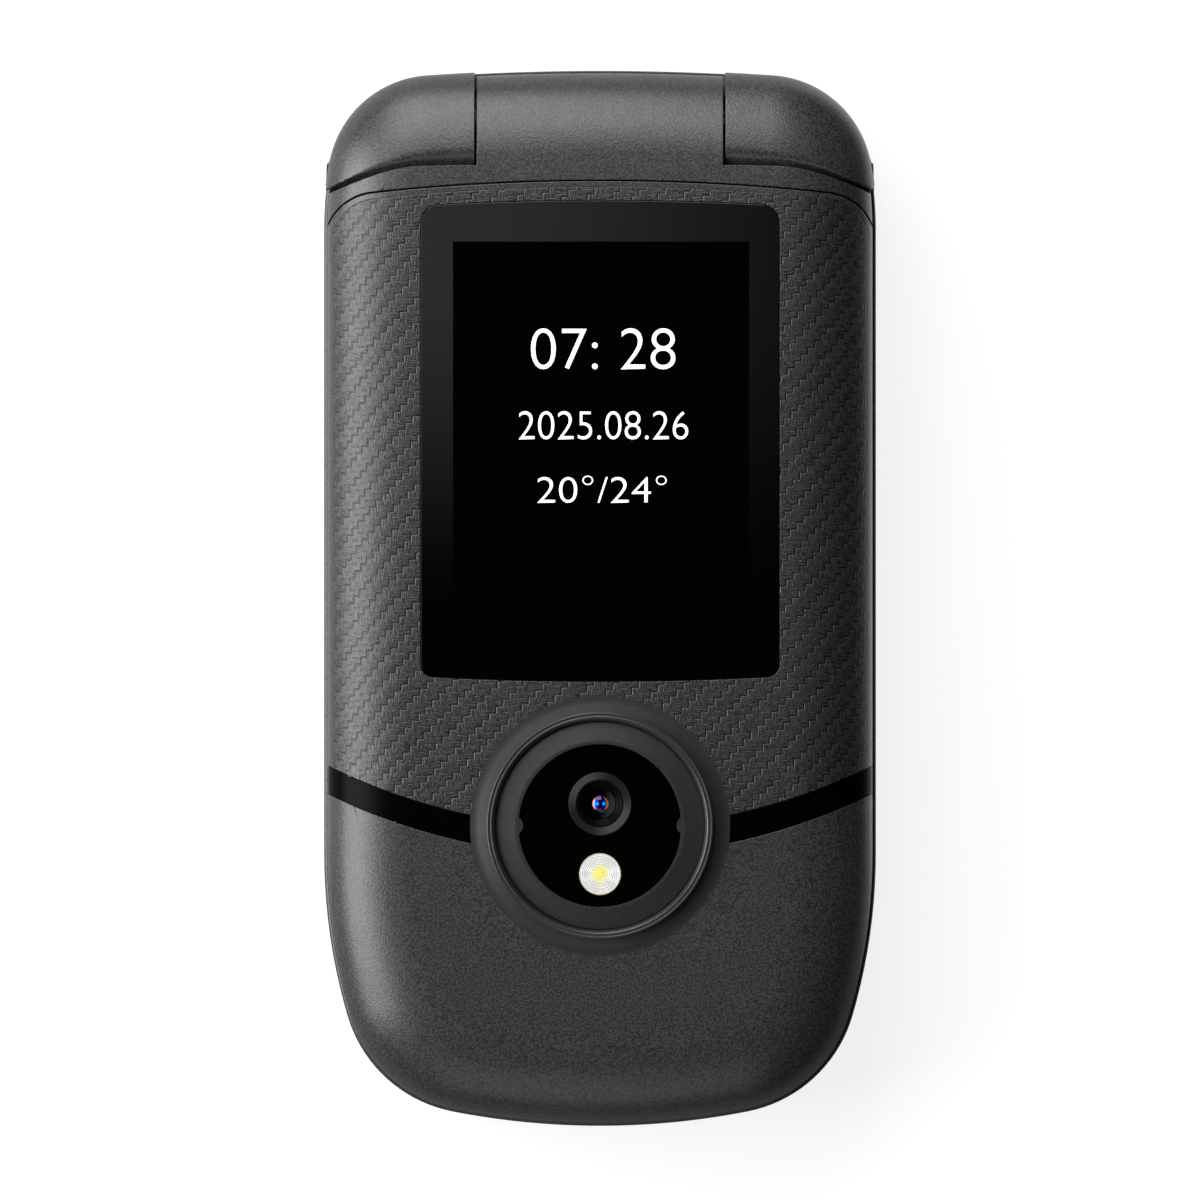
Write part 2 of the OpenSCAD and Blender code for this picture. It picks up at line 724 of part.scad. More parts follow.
module lid_screws() {
    head_z = lid_z + bumper_seat;
    color("Silver") for (p = lid_screw_spots) {
        post(screw_head_r, head_z, head_z + 0.6, p);
        post(screw_r, head_z + 0.5, lid_boss_top - 0.9, p);
    }
}

magnet_w = 5;
magnet_l = 2.4;
magnet_t = 1.4;
magnet_gap = 3.5;         // between the earpiece and the magnet that tells the phone that it is closed

module lid_magnet() {
    color("Silver") slab(magnet_w, magnet_l, 0.3, tray_z, tray_z + magnet_t,
        [-(ear_w + magnet_w) / 2 - magnet_gap, ear_y]);
}

// ---- Hinge ----

module hinge_cartridge() {
    color("Silver") difference() {
        rod(cartridge_r, cartridge_x, cartridge_x + cartridge_l);
        rod(pin_r + running_fit, cartridge_x + cartridge_l / 2, half_w);
    }
}

module hinge_pin() {
    tip = barrel_half + seat_l;
    color("Silver") rod(pin_r, cartridge_x + cartridge_l / 2 + 0.3, tip);
}

module hinge_bush() {
    color("Silver") difference() {
        rod(bush_r, -barrel_half - seat_l, bush_x);
        rod(bush_bore_r, -half_w, half_w);
    }
}

module hinge_flex() {
    color("Orange") difference() {
        rod(bush_bore_r - 0.15, -barrel_half - seat_l + 0.5, bush_x - 0.5);
        rod(bush_bore_r - 0.4, -half_w, half_w);
        translate([-half_w, hinge_y - 0.5, hinge_z]) cube([2 * half_w, 1, big]);
    }
}

// ---- Base ----

deck_top = base_h - deck_drop;
deck_under = deck_top - deck_t;
board_top = split_z + board_t;
mat_top = board_top + mat_t;
deck_w = body_w - 2 * deck_side;
deck_y0 = chin_y + deck_chin;
deck_y1 = hinge_y - deck_hinge;
deck_corner_r = 5;
nav_y = hinge_y - nav_back;
clear_y = nav_y - nav_r - clear_gap - clear_l / 2;
key_pitch_x = (deck_w - 2 * key_side + key_col_gap) / 3;
key_pitch_y = (clear_y - clear_l / 2 - deck_y0 - key_end) / 4;
key_w = key_pitch_x - key_col_gap;
key_l = key_pitch_y - key_row_gap;
key_row_y = clear_y - (clear_l + key_l) / 2 - key_row_gap;
soft_w = deck_w / 2 - key_side - soft_gap - nav_r;
soft_x = (deck_w - soft_w) / 2 - key_side;
soft_y = nav_y + (soft_l + key_row_gap) / 2;
call_y = nav_y - (soft_l + key_row_gap) / 2;
pip_r = 0.8;              // ball of the mark that a finger feels on key 5
pip_h = 0.12;

bay_back = 9;             // bay under the board, for what the board carries
bay_l = 24;
bay_y1 = hinge_y - bay_back;
bay_y0 = bay_y1 - bay_l;
bay_side = 6.5;
bay_w = body_w - 2 * bay_side;
bay_floor = 3.4;
chin_bay_l = 17.6;
chin_bay_y1 = chin_y + chin_bay_l;
chin_floor = 1.4;
chin_wall = wall + 0.6;
back_top = hinge_y - back_to_hinge;
back_bottom = chin_y + back_to_chin;
hook_side = 7.5;          // from the body's side to the outer hooks
hook_middle = 4;          // the third hook stands between the loudspeaker and the motor
hook_x = [hook_side - half_w, hook_middle, half_w - hook_side];
hook_t = 1.2;
hook_z = back_t - 0.3;
hook_root = 1.5;
hook_reach = 1;
hook_gap = 0.1;
notch_half = 3.5;
notch_r = (notch_half * notch_half + notch_depth * notch_depth) / (2 * notch_depth);

screw_boss_r = 2.2;
head_top = 1.9;
head_h = 0.8;
screw_side = 5.1;         // of the base's screws by the hinge, from the side and from the hinge axis
screw_back = 7.6;
chin_screw_side = 7.9;    // of those by the chin, from the side and from the chin
chin_screw_in = 10;
base_screw_spots = [for (s = [-1, 1]) each
    [[s * (half_w - screw_side), hinge_y - screw_back],
     [s * (half_w - chin_screw_side), chin_y + chin_screw_in]]];
battery_y0 = chin_bay_y1 + battery_wall + battery_gap;
battery_y1 = bay_y0 - battery_wall - battery_gap;
battery_l = battery_y1 - battery_y0;
battery_y = (battery_y0 + battery_y1) / 2;
battery_corner_r = 1.3;
bay_corner_r = 2;
battery_z = back_t + 0.15;
battery_top = split_z - 0.65;
speaker_side = 10;        // from the bay's wall to the loudspeaker's middle
speaker_back = 13;        // and from the hinge axis
speaker_at = [speaker_side - bay_w / 2, hinge_y - speaker_back];
speaker_w = 13;
speaker_l = 7;
speaker_z = 1.2;
speaker_t = 3;
grille_pitch = 2.2;
grille_w = 1;
grille_l = 4.6;
part_gap = 0.1;           // round each part that drops into a pocket
motor_side = 7;
motor_back = 13.4;
motor_at = [bay_w / 2 - motor_side, hinge_y - motor_back];
motor_r = 3.8;
sim_side = 12;
sim_back = 25;
sim_at = [bay_w / 2 - sim_side, hinge_y - sim_back];
sim_rim = 1;
sim_w = 15;
sim_l = 13;
sim_z = 1.1;
sim_t = 1.4;
card_t = 0.8;
antenna_side = 16.5;
antenna_in = 10.6;
antenna_at = [antenna_side - half_w, chin_y + antenna_in];
antenna_w = 9;
antenna_l = 7;
antenna_t = 0.4;

board_side = 3.2;         // between the board and the walls beside it
board_lap = 0.9;          // by which the board reaches over the chin's bay
board_end = 0.6;
board_corner_r = 2;
board_w = body_w - 2 * (wall + board_side);
board_y0 = chin_bay_y1 - board_lap;
board_y1 = deck_y1 - board_end;
mat_inset = 0.3;
usb_z = split_z - usb_h;
usb_face = chin_y + 0.35;
usb_in = 0.3;
usb_room = 0.7;           // behind the USB port
usb_l = 7;
usb_shell = 0.3;
usb_back = usb_face + usb_in + usb_l;
tongue_w = usb_w + 2;
tongue_lap = 1.5;         // of the board's tongue over the USB port and over the board
shield_back = 23.5;
shield_y = hinge_y - shield_back;
shield_l = 11;
shield_h = 1.8;
shield_gap = 1;           // from the middle to each shield can
shield_side = 2.5;
shield_w = bay_w / 2 - shield_gap - shield_side;
shield_x = shield_w / 2 + shield_gap;
mic_in = 2.5;
mic_y = deck_y0 - mic_in;
mic_r = 2;
mic_h = 1.5;
mic_hole_r = 0.5;
contact_w = 9;            // block of the battery contacts, under the board
contact_l = 3.2;
contact_gap = 0.3;
contact_pitch = 2.5;
contact_z = 4.3;
contact_t = 0.6;
contact_slot_w = 2 * contact_pitch + 2.2;

jack_x = half_w - jack_side;
jack_face = chin_y + jack_in;
jack_z = 4.7;
jack_r = 2.8;
jack_end = 0.8;
jack_nose = 3;
jack_body_w = 6.4;
jack_body_h = 5.2;
rocker_y = hinge_y - rocker_back;
rocker_h = 2.2;
rocker_z = split_z + 0.75;
rocker_gap = 0.25;
rocker_flange = 0.5;
rocker_flange_t = 0.6;
rocker_flange_in = 0.55;

key_names = [["key_1", "key_2", "key_3"], ["key_4", "key_5", "key_6"],
             ["key_7", "key_8", "key_9"], ["key_star", "key_0", "key_hash"]];

module number_key_shape(grow) { rounded(key_w + 2 * grow, key_l + 2 * grow, 1.6); }
module soft_key_shape(grow) { rounded(soft_w + 2 * grow, soft_l + 2 * grow, 2); }
module clear_key_shape(grow) { rounded(key_w + 2 * grow, clear_l + 2 * grow, 1.6); }
module ok_key_shape(grow) { circle(ok_r + grow); }

// One quarter of the direction ring, pointing to +X, with straight edges along its spokes
module nav_key_shape(grow) {
    side = spoke_w / 2 + key_gap - grow;
    difference() {
        circle(nav_r + grow);
        circle(nav_in_r - grow);
        for (s = [-1, 1]) rotate(s * 45) translate([-big, s > 0 ? -side : -big]) square([2 * big, big + side]);
    }
}

// A key: cap through the floor, flange under it, and a cap top that is a part of a long cylinder
module key(at, kind, turn = 0, tint = "DimGray") {
    top_r = 30;
    color(tint) translate([at[0], at[1], 0]) rotate(turn) {
        translate([0, 0, deck_under - key_lip_t]) linear_extrude(key_lip_t) key_shape(kind, key_lip);
        intersection() {
            translate([0, 0, deck_under - eps])
                linear_extrude(deck_top + key_h - deck_under) key_shape(kind, 0);
            translate([-top_r, 0, deck_top + key_h - top_r]) rotate([0, 90, 0])
                cylinder(r = top_r, h = 2 * top_r, $fn = 180);
        }
    }
}

module key_shape(kind, grow) {
    if (kind == "number") number_key_shape(grow);
    if (kind == "soft") soft_key_shape(grow);
    if (kind == "clear") clear_key_shape(grow);
    if (kind == "ok") ok_key_shape(grow);
    if (kind == "nav") nav_key_shape(grow);
}

function number_key_at(row, col) = [(col - 1) * key_pitch_x, key_row_y - row * key_pitch_y];

module number_key(name) {
    for (row = [0:3], col = [0:2]) if (key_names[row][col] == name) key(number_key_at(row, col), "number");
    pip_z = deck_top + key_h + pip_h - pip_r;
    if (name == "key_5") color("DimGray") translate(concat(number_key_at(1, 1), pip_z)) sphere(pip_r);
}

module key_holes() {
    translate([0, 0, deck_under - 1]) linear_extrude(deck_t + 2) {
        for (row = [0:3], col = [0:2]) translate(number_key_at(row, col)) number_key_shape(key_gap);
        for (s = [-1, 1], y = [soft_y, call_y]) translate([s * soft_x, y]) soft_key_shape(key_gap);
        translate([0, clear_y]) clear_key_shape(key_gap);
        translate([0, nav_y]) ok_key_shape(key_gap);
        for (a = [0:90:270]) translate([0, nav_y]) rotate(a) nav_key_shape(key_gap);
    }
}

module knuckles() {
    intersection() {
        dome(base_h - 1);
        about_hinge(knuckle_r, swing_grow, half_w);
        beside_barrel(barrel_gap / 2);
    }
}

module base_upper_housing() {
    color("DimGray") difference() {
        union() {
            plate(0, split_z, base_h);
            knuckles();
        }
        intersection() {
            plate(wall, split_z - 1, deck_under);
            below_y(deck_y1);
        }
        slab(deck_w, deck_y1 - deck_y0, deck_corner_r, deck_top, base_h + 1, [0, (deck_y0 + deck_y1) / 2]);
        key_holes();
        post(mic_hole_r, deck_under - 1, base_h + 1, [0, mic_y]);
        intersection() {
            about_hinge(trough_r, -barrel_drop, barrel_half);
            between_knuckles(-barrel_gap / 2);
        }
        rod(pin_r + press_gap, 0, barrel_half + seat_l + part_gap);
        rod(bush_r + press_gap, -barrel_half - seat_l - part_gap, 0);
        for (p = base_screw_spots) post(screw_r + seat_gap, split_z - 1, base_h - 1.2, p);
        rocker_space();
        socket_space();
    }
}

press_gap = 0.02;         // round the hinge pin and the bush in the knuckles

// The strip of the base that the battery cover closes, from the table up to z, longer by grow at both ends
module back_strip(grow, z) {
    translate([-big, back_bottom - grow, -1]) cube([2 * big, back_top - back_bottom + 2 * grow, z + 1]);
}

module lower_shell() {
    difference() {
        foot_form();
        back_strip(back_line, back_h + back_line);
    }
    intersection() {
        foot_form(back_t + seat_gap, 30);
        back_strip(1, back_h + back_line + eps);
    }
}

// Hooks along the upper edge of the battery cover, and with grow the slots that they slide into
module back_hooks(grow = 0) {
    for (x = hook_x) translate([x - hook_w / 2 - grow, back_top - hook_root - grow, hook_z - grow])
        cube([hook_w + 2 * grow, hook_root + hook_reach + 2 * grow, hook_t + 2 * grow]);
}

module base_lower_housing() {
    color("DarkSlateGray") difference() {
        lower_shell();
        slab(battery_w + 2 * battery_gap, battery_l + 2 * battery_gap, battery_corner_r, -1,
            battery_top + part_gap, [0, battery_y]);
        slab(bay_w, bay_l, bay_corner_r, bay_floor, big, [0, (bay_y0 + bay_y1) / 2]);
        // slot for the battery contacts
        translate([-contact_slot_w / 2, battery_y1, contact_z - contact_t])
            cube([contact_slot_w, bay_y0 - battery_y1 + eps, big]);
        slab(speaker_w + 2 * part_gap, speaker_l + 2 * part_gap, 1, speaker_z, big, speaker_at);
        for (i = [-2:2])
            slab(grille_w, grille_l, grille_w / 2 - eps, -1, speaker_z + eps, speaker_at + [grille_pitch * i, 0]);
        slab(sim_w + 2 * part_gap, sim_l + 2 * part_gap, 0.6, -1, sim_z + sim_t, sim_at);
        // chin bay for the sockets and the antenna
        intersection() {
            plate(chin_wall, chin_floor, big);
            below_y(chin_bay_y1);
            difference() {
                translate([-big, -big, 0]) cube(2 * big);
                for (p = base_screw_spots) post(screw_boss_r, 0, big, p);
            }
        }
        socket_space();
        for (p = base_screw_spots) {
            post(screw_head_r + 2 * part_gap, -1, head_top, p);
            post(screw_r + seat_gap, 0, split_z + 1, p);
        }
        back_hooks(hook_gap);
        // nail notch beside the battery cover
        translate([0, back_bottom - back_line, notch_depth - notch_r]) sphere(notch_r);
    }
}

module battery_cover() {
    color("DimGray") {
        difference() {
            intersection() {
                foot_form();
                back_strip(0, back_h);
            }
            foot_form(back_t, 30);
        }
        back_hooks();
    }
}

module battery() {
    color("SlateGray") slab(battery_w, battery_l, battery_corner_r, battery_z, battery_top, [0, battery_y]);
}

module main_board() {
    color("DarkGreen") {
        slab(board_w, board_y1 - board_y0, board_corner_r, split_z, board_top, [0, (board_y0 + board_y1) / 2]);
        slab(tongue_w, board_y0 - usb_back + 2 * tongue_lap, 1, split_z, board_top,
            [0, (board_y0 + usb_back) / 2]);
    }
    // microphone on the tongue
    color("Silver") post(mic_r, board_top - eps, board_top + mic_h, [0, mic_y]);
    battery_contacts();
}

// Block under the board, with three springs that touch the battery's end
module battery_contacts() {
    y0 = bay_y0 + contact_gap;
    color("Black") slab(contact_w, contact_l, 0.3, bay_floor + 2 * part_gap, split_z + eps,
        [0, y0 + contact_l / 2]);
    color("Gold") for (i = [-1:1])
        translate([i * contact_pitch - contact_t / 2, battery_y1 + seat_gap, contact_z])
            cube([contact_t, y0 - battery_y1 + eps, contact_t]);
}

module shield_cans() {
    color("Silver") for (s = [-1, 1])
        slab(shield_w, shield_l, 0.8, split_z - shield_h, split_z, [s * shield_x, shield_y]);
}

module keypad_mat() {
    dome_r = 2;
    dome_h = 0.1;
    color("LightGray") {
        slab(board_w - 2 * mat_inset, board_y1 - board_y0 - 2 * mat_inset, board_corner_r, board_top, mat_top,
            [0, (board_y0 + board_y1) / 2]);
        for (row = [0:3], col = [0:2]) post(dome_r, mat_top - eps, mat_top + dome_h, number_key_at(row, col));
    }
}

// Opening for the volume rocker, and the wider space inside the wall for its flange
module rocker_space() {
    flange_space = rocker_flange + rocker_gap + 0.15;
    translate([-half_w - 1, rocker_y - rocker_l / 2 - rocker_gap, rocker_z - 0.2])
        cube([wall + 2, rocker_l + 2 * rocker_gap, rocker_h + 0.4]);
    translate([-half_w + wall - 0.9, rocker_y - rocker_l / 2 - flange_space, rocker_z - 0.55])
        cube([3, rocker_l + 2 * flange_space, rocker_h + 0.85]);
}

module volume_rocker() {
    flange_x = -half_w + wall - rocker_flange_in;
    color("DimGray") {
        translate([(-half_w + flange_x) / 2, rocker_y, rocker_z + rocker_h / 2])
            cube([flange_x + half_w, rocker_l, rocker_h], center = true);
        translate([flange_x - eps, rocker_y - rocker_l / 2 - rocker_flange, rocker_z - 0.2])
            cube([rocker_flange_t, rocker_l + 2 * rocker_flange, rocker_h + 0.3]);
    }
}

module usb_port() {
    mouth_h = usb_h - 2 * usb_shell;
    color("Silver") difference() {
        translate([0, usb_back - usb_l / 2, usb_z + usb_h / 2]) cube([usb_w, usb_l, usb_h], center = true);
        translate([0, usb_face, usb_z + usb_h / 2]) rotate([-90, 0, 0])
            linear_extrude(usb_l - usb_shell) difference() {
                rounded(usb_w - 2 * usb_shell, mouth_h, mouth_h / 2 - eps);
                square([2 * usb_w / 3, mouth_h / 4], center = true);
            }
    }
}

// Pockets for the sockets, and the openings in the wall that lead to them
module socket_space() {
    translate([jack_x, jack_face, jack_z]) rotate([-90, 0, 0]) {
        translate([0, 0, -seat_gap]) cylinder(r = jack_r + part_gap, h = jack_l / 2);
        translate([-jack_body_w / 2 - part_gap, -jack_body_h / 2 - part_gap, jack_nose - part_gap])
            cube([jack_body_w + 2 * part_gap, jack_body_h + 2 * part_gap, jack_l - jack_nose + 1]);
        translate([0, 0, -2 * jack_in]) cylinder(r = jack_bore_r + 0.5, h = 2 * jack_in + eps);
    }
    translate([-usb_w / 2 - part_gap, usb_face - usb_l, usb_z - part_gap])
        cube([usb_w + 2 * part_gap, 2 * usb_l + usb_in + usb_room, usb_h + 2 * part_gap]);
}

module headphone_jack() {
    color("DarkGray") translate([jack_x, jack_face, jack_z]) rotate([-90, 0, 0]) difference() {
        union() {
            cylinder(r = jack_r, h = jack_l / 2);
            translate([-jack_body_w / 2, -jack_body_h / 2, jack_nose])
                cube([jack_body_w, jack_body_h, jack_l - jack_nose]);
        }
        translate([0, 0, -1]) cylinder(r = jack_bore_r, h = jack_l - jack_end + 1);
    }
}

module loudspeaker() {
    color("Silver") slab(speaker_w, speaker_l, 0.8, speaker_z, speaker_z + speaker_t, speaker_at);
}

module vibration_motor() {
    color("Silver") post(motor_r, bay_floor, split_z - part_gap, motor_at);
}

// Holder with a bay for the card, which slides in from the chin's side
module sim_holder() {
    color("Silver") difference() {
        slab(sim_w, sim_l, 0.5, sim_z, sim_z + sim_t, sim_at);
        slab(sim_w - 2 * sim_rim, sim_l, 0.4, sim_z - 1, sim_z + card_t, sim_at - [0, sim_rim]);
    }
}

module antenna() {
    color("Goldenrod") slab(antenna_w, antenna_l, 0.5, chin_floor, chin_floor + antenna_t, antenna_at);
}

module base_screws() {
    color("Silver") for (p = base_screw_spots) {
        post(screw_head_r, head_top - head_h, head_top, p);
        post(screw_r, head_top - eps, base_h - 1.4, p);
    }
}

lid_front_cover();
lid_inner_housing();
stripe_inlay();
camera_bezel();
camera_trim();
camera_window();
lens_ring();
camera_module();
flash_lens();
flash_led();
outer_window();
outer_display();
lid_board();
earpiece();
inner_window();
inner_display();
lid_bumpers();
lid_screws();
lid_magnet();
hinge_cartridge();
hinge_pin();
hinge_bush();
hinge_flex();
base_upper_housing();
base_lower_housing();
battery_cover();
battery();
main_board();
shield_cans();
keypad_mat();
number_key("key_1");  // key_1
number_key("key_2");  // key_2
number_key("key_3");  // key_3
number_key("key_4");  // key_4
number_key("key_5");  // key_5
number_key("key_6");  // key_6
number_key("key_7");  // key_7
number_key("key_8");  // key_8
number_key("key_9");  // key_9
number_key("key_star");  // key_star
number_key("key_0");  // key_0
number_key("key_hash");  // key_hash
key([-soft_x, call_y], "soft", 0, "DarkGreen");  // call_key
key([soft_x, call_y], "soft", 0, "DarkRed");  // end_key
key([0, clear_y], "clear");  // clear_key
key([-soft_x, soft_y], "soft");  // left_soft_key
key([soft_x, soft_y], "soft");  // right_soft_key
key([0, nav_y], "nav", 90);  // nav_up_key
key([0, nav_y], "nav", 270);  // nav_down_key
key([0, nav_y], "nav", 180);  // nav_left_key
key([0, nav_y], "nav", 0);  // nav_right_key
key([0, nav_y], "ok");  // ok_key
volume_rocker();
usb_port();
headphone_jack();
loudspeaker();
vibration_motor();
sim_holder();
antenna();
base_screws();
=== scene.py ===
# Flip phone, lying closed: the finish of its parts, in metres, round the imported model
import json
import math
import bpy
import bmesh
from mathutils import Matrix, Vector


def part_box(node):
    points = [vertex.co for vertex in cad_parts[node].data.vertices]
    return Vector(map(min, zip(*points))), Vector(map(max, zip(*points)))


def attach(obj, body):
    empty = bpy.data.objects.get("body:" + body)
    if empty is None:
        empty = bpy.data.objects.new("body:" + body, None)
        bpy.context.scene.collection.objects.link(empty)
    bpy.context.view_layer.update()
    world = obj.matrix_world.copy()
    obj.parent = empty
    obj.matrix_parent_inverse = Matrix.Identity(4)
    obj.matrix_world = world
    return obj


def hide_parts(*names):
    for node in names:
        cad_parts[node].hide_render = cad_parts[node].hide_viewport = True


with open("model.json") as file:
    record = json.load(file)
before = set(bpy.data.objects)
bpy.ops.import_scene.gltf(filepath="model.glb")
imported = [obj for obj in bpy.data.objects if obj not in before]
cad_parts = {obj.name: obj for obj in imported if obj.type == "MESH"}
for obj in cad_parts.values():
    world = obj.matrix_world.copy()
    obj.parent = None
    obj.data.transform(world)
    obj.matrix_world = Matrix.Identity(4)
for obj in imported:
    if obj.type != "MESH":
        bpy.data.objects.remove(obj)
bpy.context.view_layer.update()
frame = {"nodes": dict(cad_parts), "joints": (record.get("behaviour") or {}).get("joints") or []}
mm = 0.001
fullTurn = math.tau

hinge = next(joint for joint in frame["joints"] if joint["name"] == "lid_hinge")
hingeY, hingeZ = hinge["pos_m"][1] / mm, hinge["pos_m"][2] / mm
baseLow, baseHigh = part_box("base_upper_housing")
lidLow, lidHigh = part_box("lid_inner_housing")
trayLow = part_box("lid_front_cover")[0]

# Sizes of the moulded body in millimetres, as everywhere below. What the frame can tell is read from it.
body = {
    "halfWidth": baseHigh.x / mm,
    "halfLength": -baseLow.y / mm,
    "lidStep": (baseHigh.x - lidHigh.x) / mm,
    "splitZ": baseLow.z / mm,
    "baseHeight": 10.2,
    "lidZ": lidLow.z / mm,
    "trayZ": trayLow.z / mm,
    "roundWidth": 9.3,
    "roundHeight": 5.2,
    "domeEnd": math.radians(84),
    "crown": 0.35,
    "roundSteps": 22,
    "crownRings": 14,
    "footWidth": 6.0,
    "footHeight": 4.0,
    "footSteps": 14,
    "edge": 0.12,
    "lidEdge": 0.09,
}
half = body["halfWidth"]
halfLength = body["halfLength"]
lidStep = body["lidStep"]
domeZ = hingeZ + body["roundHeight"] * math.sin(body["domeEnd"])
topZ = domeZ + body["crown"]
barrelRadius = halfLength - hingeY

# Each end of the outline: its reach, the radii of arch, corner and side, and where the side starts to close
outlineEnds = {
    "chin": (halfLength, 76.4, 13.6, 57.6, halfLength - 27.2),
    "hinge": (halfLength, 252, 10.6, 42.5, halfLength - 16.1),
    "cover": (halfLength - 11.2, 216, 5.3, 120, halfLength - 21.5),
}


def only(*objects):
    bpy.ops.object.select_all(action="DESELECT")
    for obj in objects:
        obj.select_set(True)
    bpy.context.view_layer.objects.active = objects[0]


def editAll(obj):
    only(obj)
    bpy.ops.object.mode_set(mode="EDIT")
    bpy.ops.mesh.select_all(action="SELECT")


def objectMode():
    bpy.ops.object.mode_set(mode="OBJECT")


def extrude(height):
    bpy.ops.mesh.extrude_region_move(TRANSFORM_OT_translate={"value": (0, 0, height * mm)})


def outwards(obj):
    # Merges what doubles and turns the faces outwards
    editAll(obj)
    bpy.ops.mesh.remove_doubles(threshold=0.004 * mm)
    bpy.ops.mesh.normals_make_consistent(inside=False)
    objectMode()


def ring(name, points, filled=True):
    # A circle whose corners are moved onto the points of a drawn outline
    bpy.ops.object.select_all(action="DESELECT")
    fill = "NGON" if filled else "NOTHING"
    bpy.ops.mesh.primitive_circle_add(vertices=len(points), radius=1, fill_type=fill)
    obj = bpy.context.object
    obj.name = obj.data.name = name
    for vertex, point in zip(obj.data.vertices, points):
        vertex.co = Vector(point) * mm
    return obj


def prism(name, points, low, high):
    obj = ring(name, [(x, y, low) for x, y in points])
    editAll(obj)
    extrude(high - low)
    objectMode()
    outwards(obj)
    return obj


def lofted(name, sections):
    # A tube through closed sections, each a list of as many points, and closed at both ends
    wide = len(sections[0])
    bpy.ops.object.select_all(action="DESELECT")
    bpy.ops.mesh.primitive_grid_add(x_subdivisions=wide, y_subdivisions=len(sections) - 1, size=1)
    obj = bpy.context.object
    obj.name = obj.data.name = name
    points = [point for section in sections for point in section + section[:1]]
    for vertex, point in zip(obj.data.vertices, points):
        vertex.co = Vector(point) * mm
    editAll(obj)
    bpy.ops.mesh.remove_doubles(threshold=0.0005 * mm)
    bpy.ops.mesh.select_all(action="SELECT")
    bpy.ops.mesh.fill_holes(sides=0)
    objectMode()
    outwards(obj)
    return obj


def turned(name, profile, centre, axis="Z", steps=128):
    # A profile of (radius, height) pairs spun about an axis through centre
    if axis == "Z":
        points = [(centre[0] + r, centre[1], centre[2] + h) for r, h in profile]
        line = (0, 0, 1)
    else:
        points = [(centre[0] + h, centre[1], centre[2] + r) for r, h in profile]
        line = (1, 0, 0)
    obj = ring(name, points, filled=False)
    editAll(obj)
    bpy.ops.mesh.spin(steps=steps, angle=fullTurn, center=Vector(centre) * mm, axis=line)
    objectMode()
    outwards(obj)
    return obj


# For each form in the making, the whole surfaces that shaped it, which later lend it their shading
shapedBy = {}


def surfacesOf(obj):
    return shapedBy.pop(obj.data.name, None) or [(obj.data.copy(), False)]


def combine(obj, cutter, operation="DIFFERENCE"):
    isCut = operation == "DIFFERENCE"
    kept = surfacesOf(obj) + [(mesh, isInside != isCut) for mesh, isInside in surfacesOf(cutter)]
    boolean = obj.modifiers.new("cut", "BOOLEAN")
    boolean.object = cutter
    boolean.operation = operation
    boolean.solver = "MANIFOLD"
    only(obj)
    bpy.ops.object.modifier_apply(modifier=boolean.name)
    shapedBy[obj.data.name] = kept
    bpy.data.objects.remove(cutter)
    return obj


def guideFor(obj):
    # One object of all the surfaces that shaped a form, each smooth in its own way
    made = []
    for mesh, isInside in surfacesOf(obj):
        part = bpy.data.objects.new("guide", mesh)
        bpy.context.collection.objects.link(part)
        if isInside:
            editAll(part)
            bpy.ops.mesh.flip_normals()
            objectMode()
        made.append(part)
    only(*made)
    if len(made) > 1:
        bpy.ops.object.join()
    smooth(made[0], 25)
    return made[0]


def settle(obj, place=(0, 0, 0), turn=(0, 0, 0)):
    # Moves and turns a finished form, with its place kept in its mesh
    obj.location = Vector(place) * mm
    obj.rotation_euler = [math.radians(angle) for angle in turn]
    only(obj)
    bpy.ops.object.transform_apply(location=True, rotation=True, scale=True)
    return obj


def lengthwise(name, points, low, high):
    # A prism along X, whose outline is drawn in Y and Z
    return settle(prism(name, points, low, high), turn=(90, 0, 90))


def softEdges(obj, width, angle=35, segments=2, clean=0.03):
    # Bevels the sharp edges, and shades the rest as the whole surfaces were before they were cut
    guide = guideFor(obj)
    editAll(obj)
    bpy.ops.mesh.remove_doubles(threshold=clean * mm)
    bpy.ops.mesh.dissolve_degenerate(threshold=clean * mm / 2)
    # Faces with holes in them are cut up first, because a bevel can make their outline cross itself
    bpy.ops.mesh.select_all(action="DESELECT")
    bpy.ops.mesh.select_mode(type="FACE")
    bpy.ops.mesh.select_face_by_sides(number=40, type="GREATER", extend=False)
    bpy.ops.mesh.quads_convert_to_tris(ngon_method="BEAUTY")
    bpy.ops.mesh.select_mode(type="VERT")
    objectMode()
    bevel = obj.modifiers.new("edge", "BEVEL")
    bevel.width = width * mm
    bevel.segments = segments
    bevel.limit_method = "ANGLE"
    bevel.angle_limit = math.radians(angle)
    bevel.use_clamp_overlap = False
    bevel.harden_normals = False
    bevel.miter_outer = "MITER_ARC"
    weighted = obj.modifiers.new("shade", "WEIGHTED_NORMAL")
    weighted.keep_sharp = True
    weighted.weight = 60
    only(obj)
    bpy.ops.object.modifier_apply(modifier=bevel.name)
    smooth(obj)
    bpy.ops.object.modifier_apply(modifier=weighted.name)
    lend = obj.modifiers.new("lend", "DATA_TRANSFER")
    lend.object = guide
    lend.use_loop_data = True
    lend.data_types_loops = {"CUSTOM_NORMAL"}
    lend.loop_mapping = "POLYINTERP_NEAREST"
    lend.use_max_distance = True
    lend.max_distance = 0.002 * mm
    bpy.ops.object.modifier_apply(modifier=lend.name)
    bpy.data.objects.remove(guide)
    ownNormals(obj)
    return obj


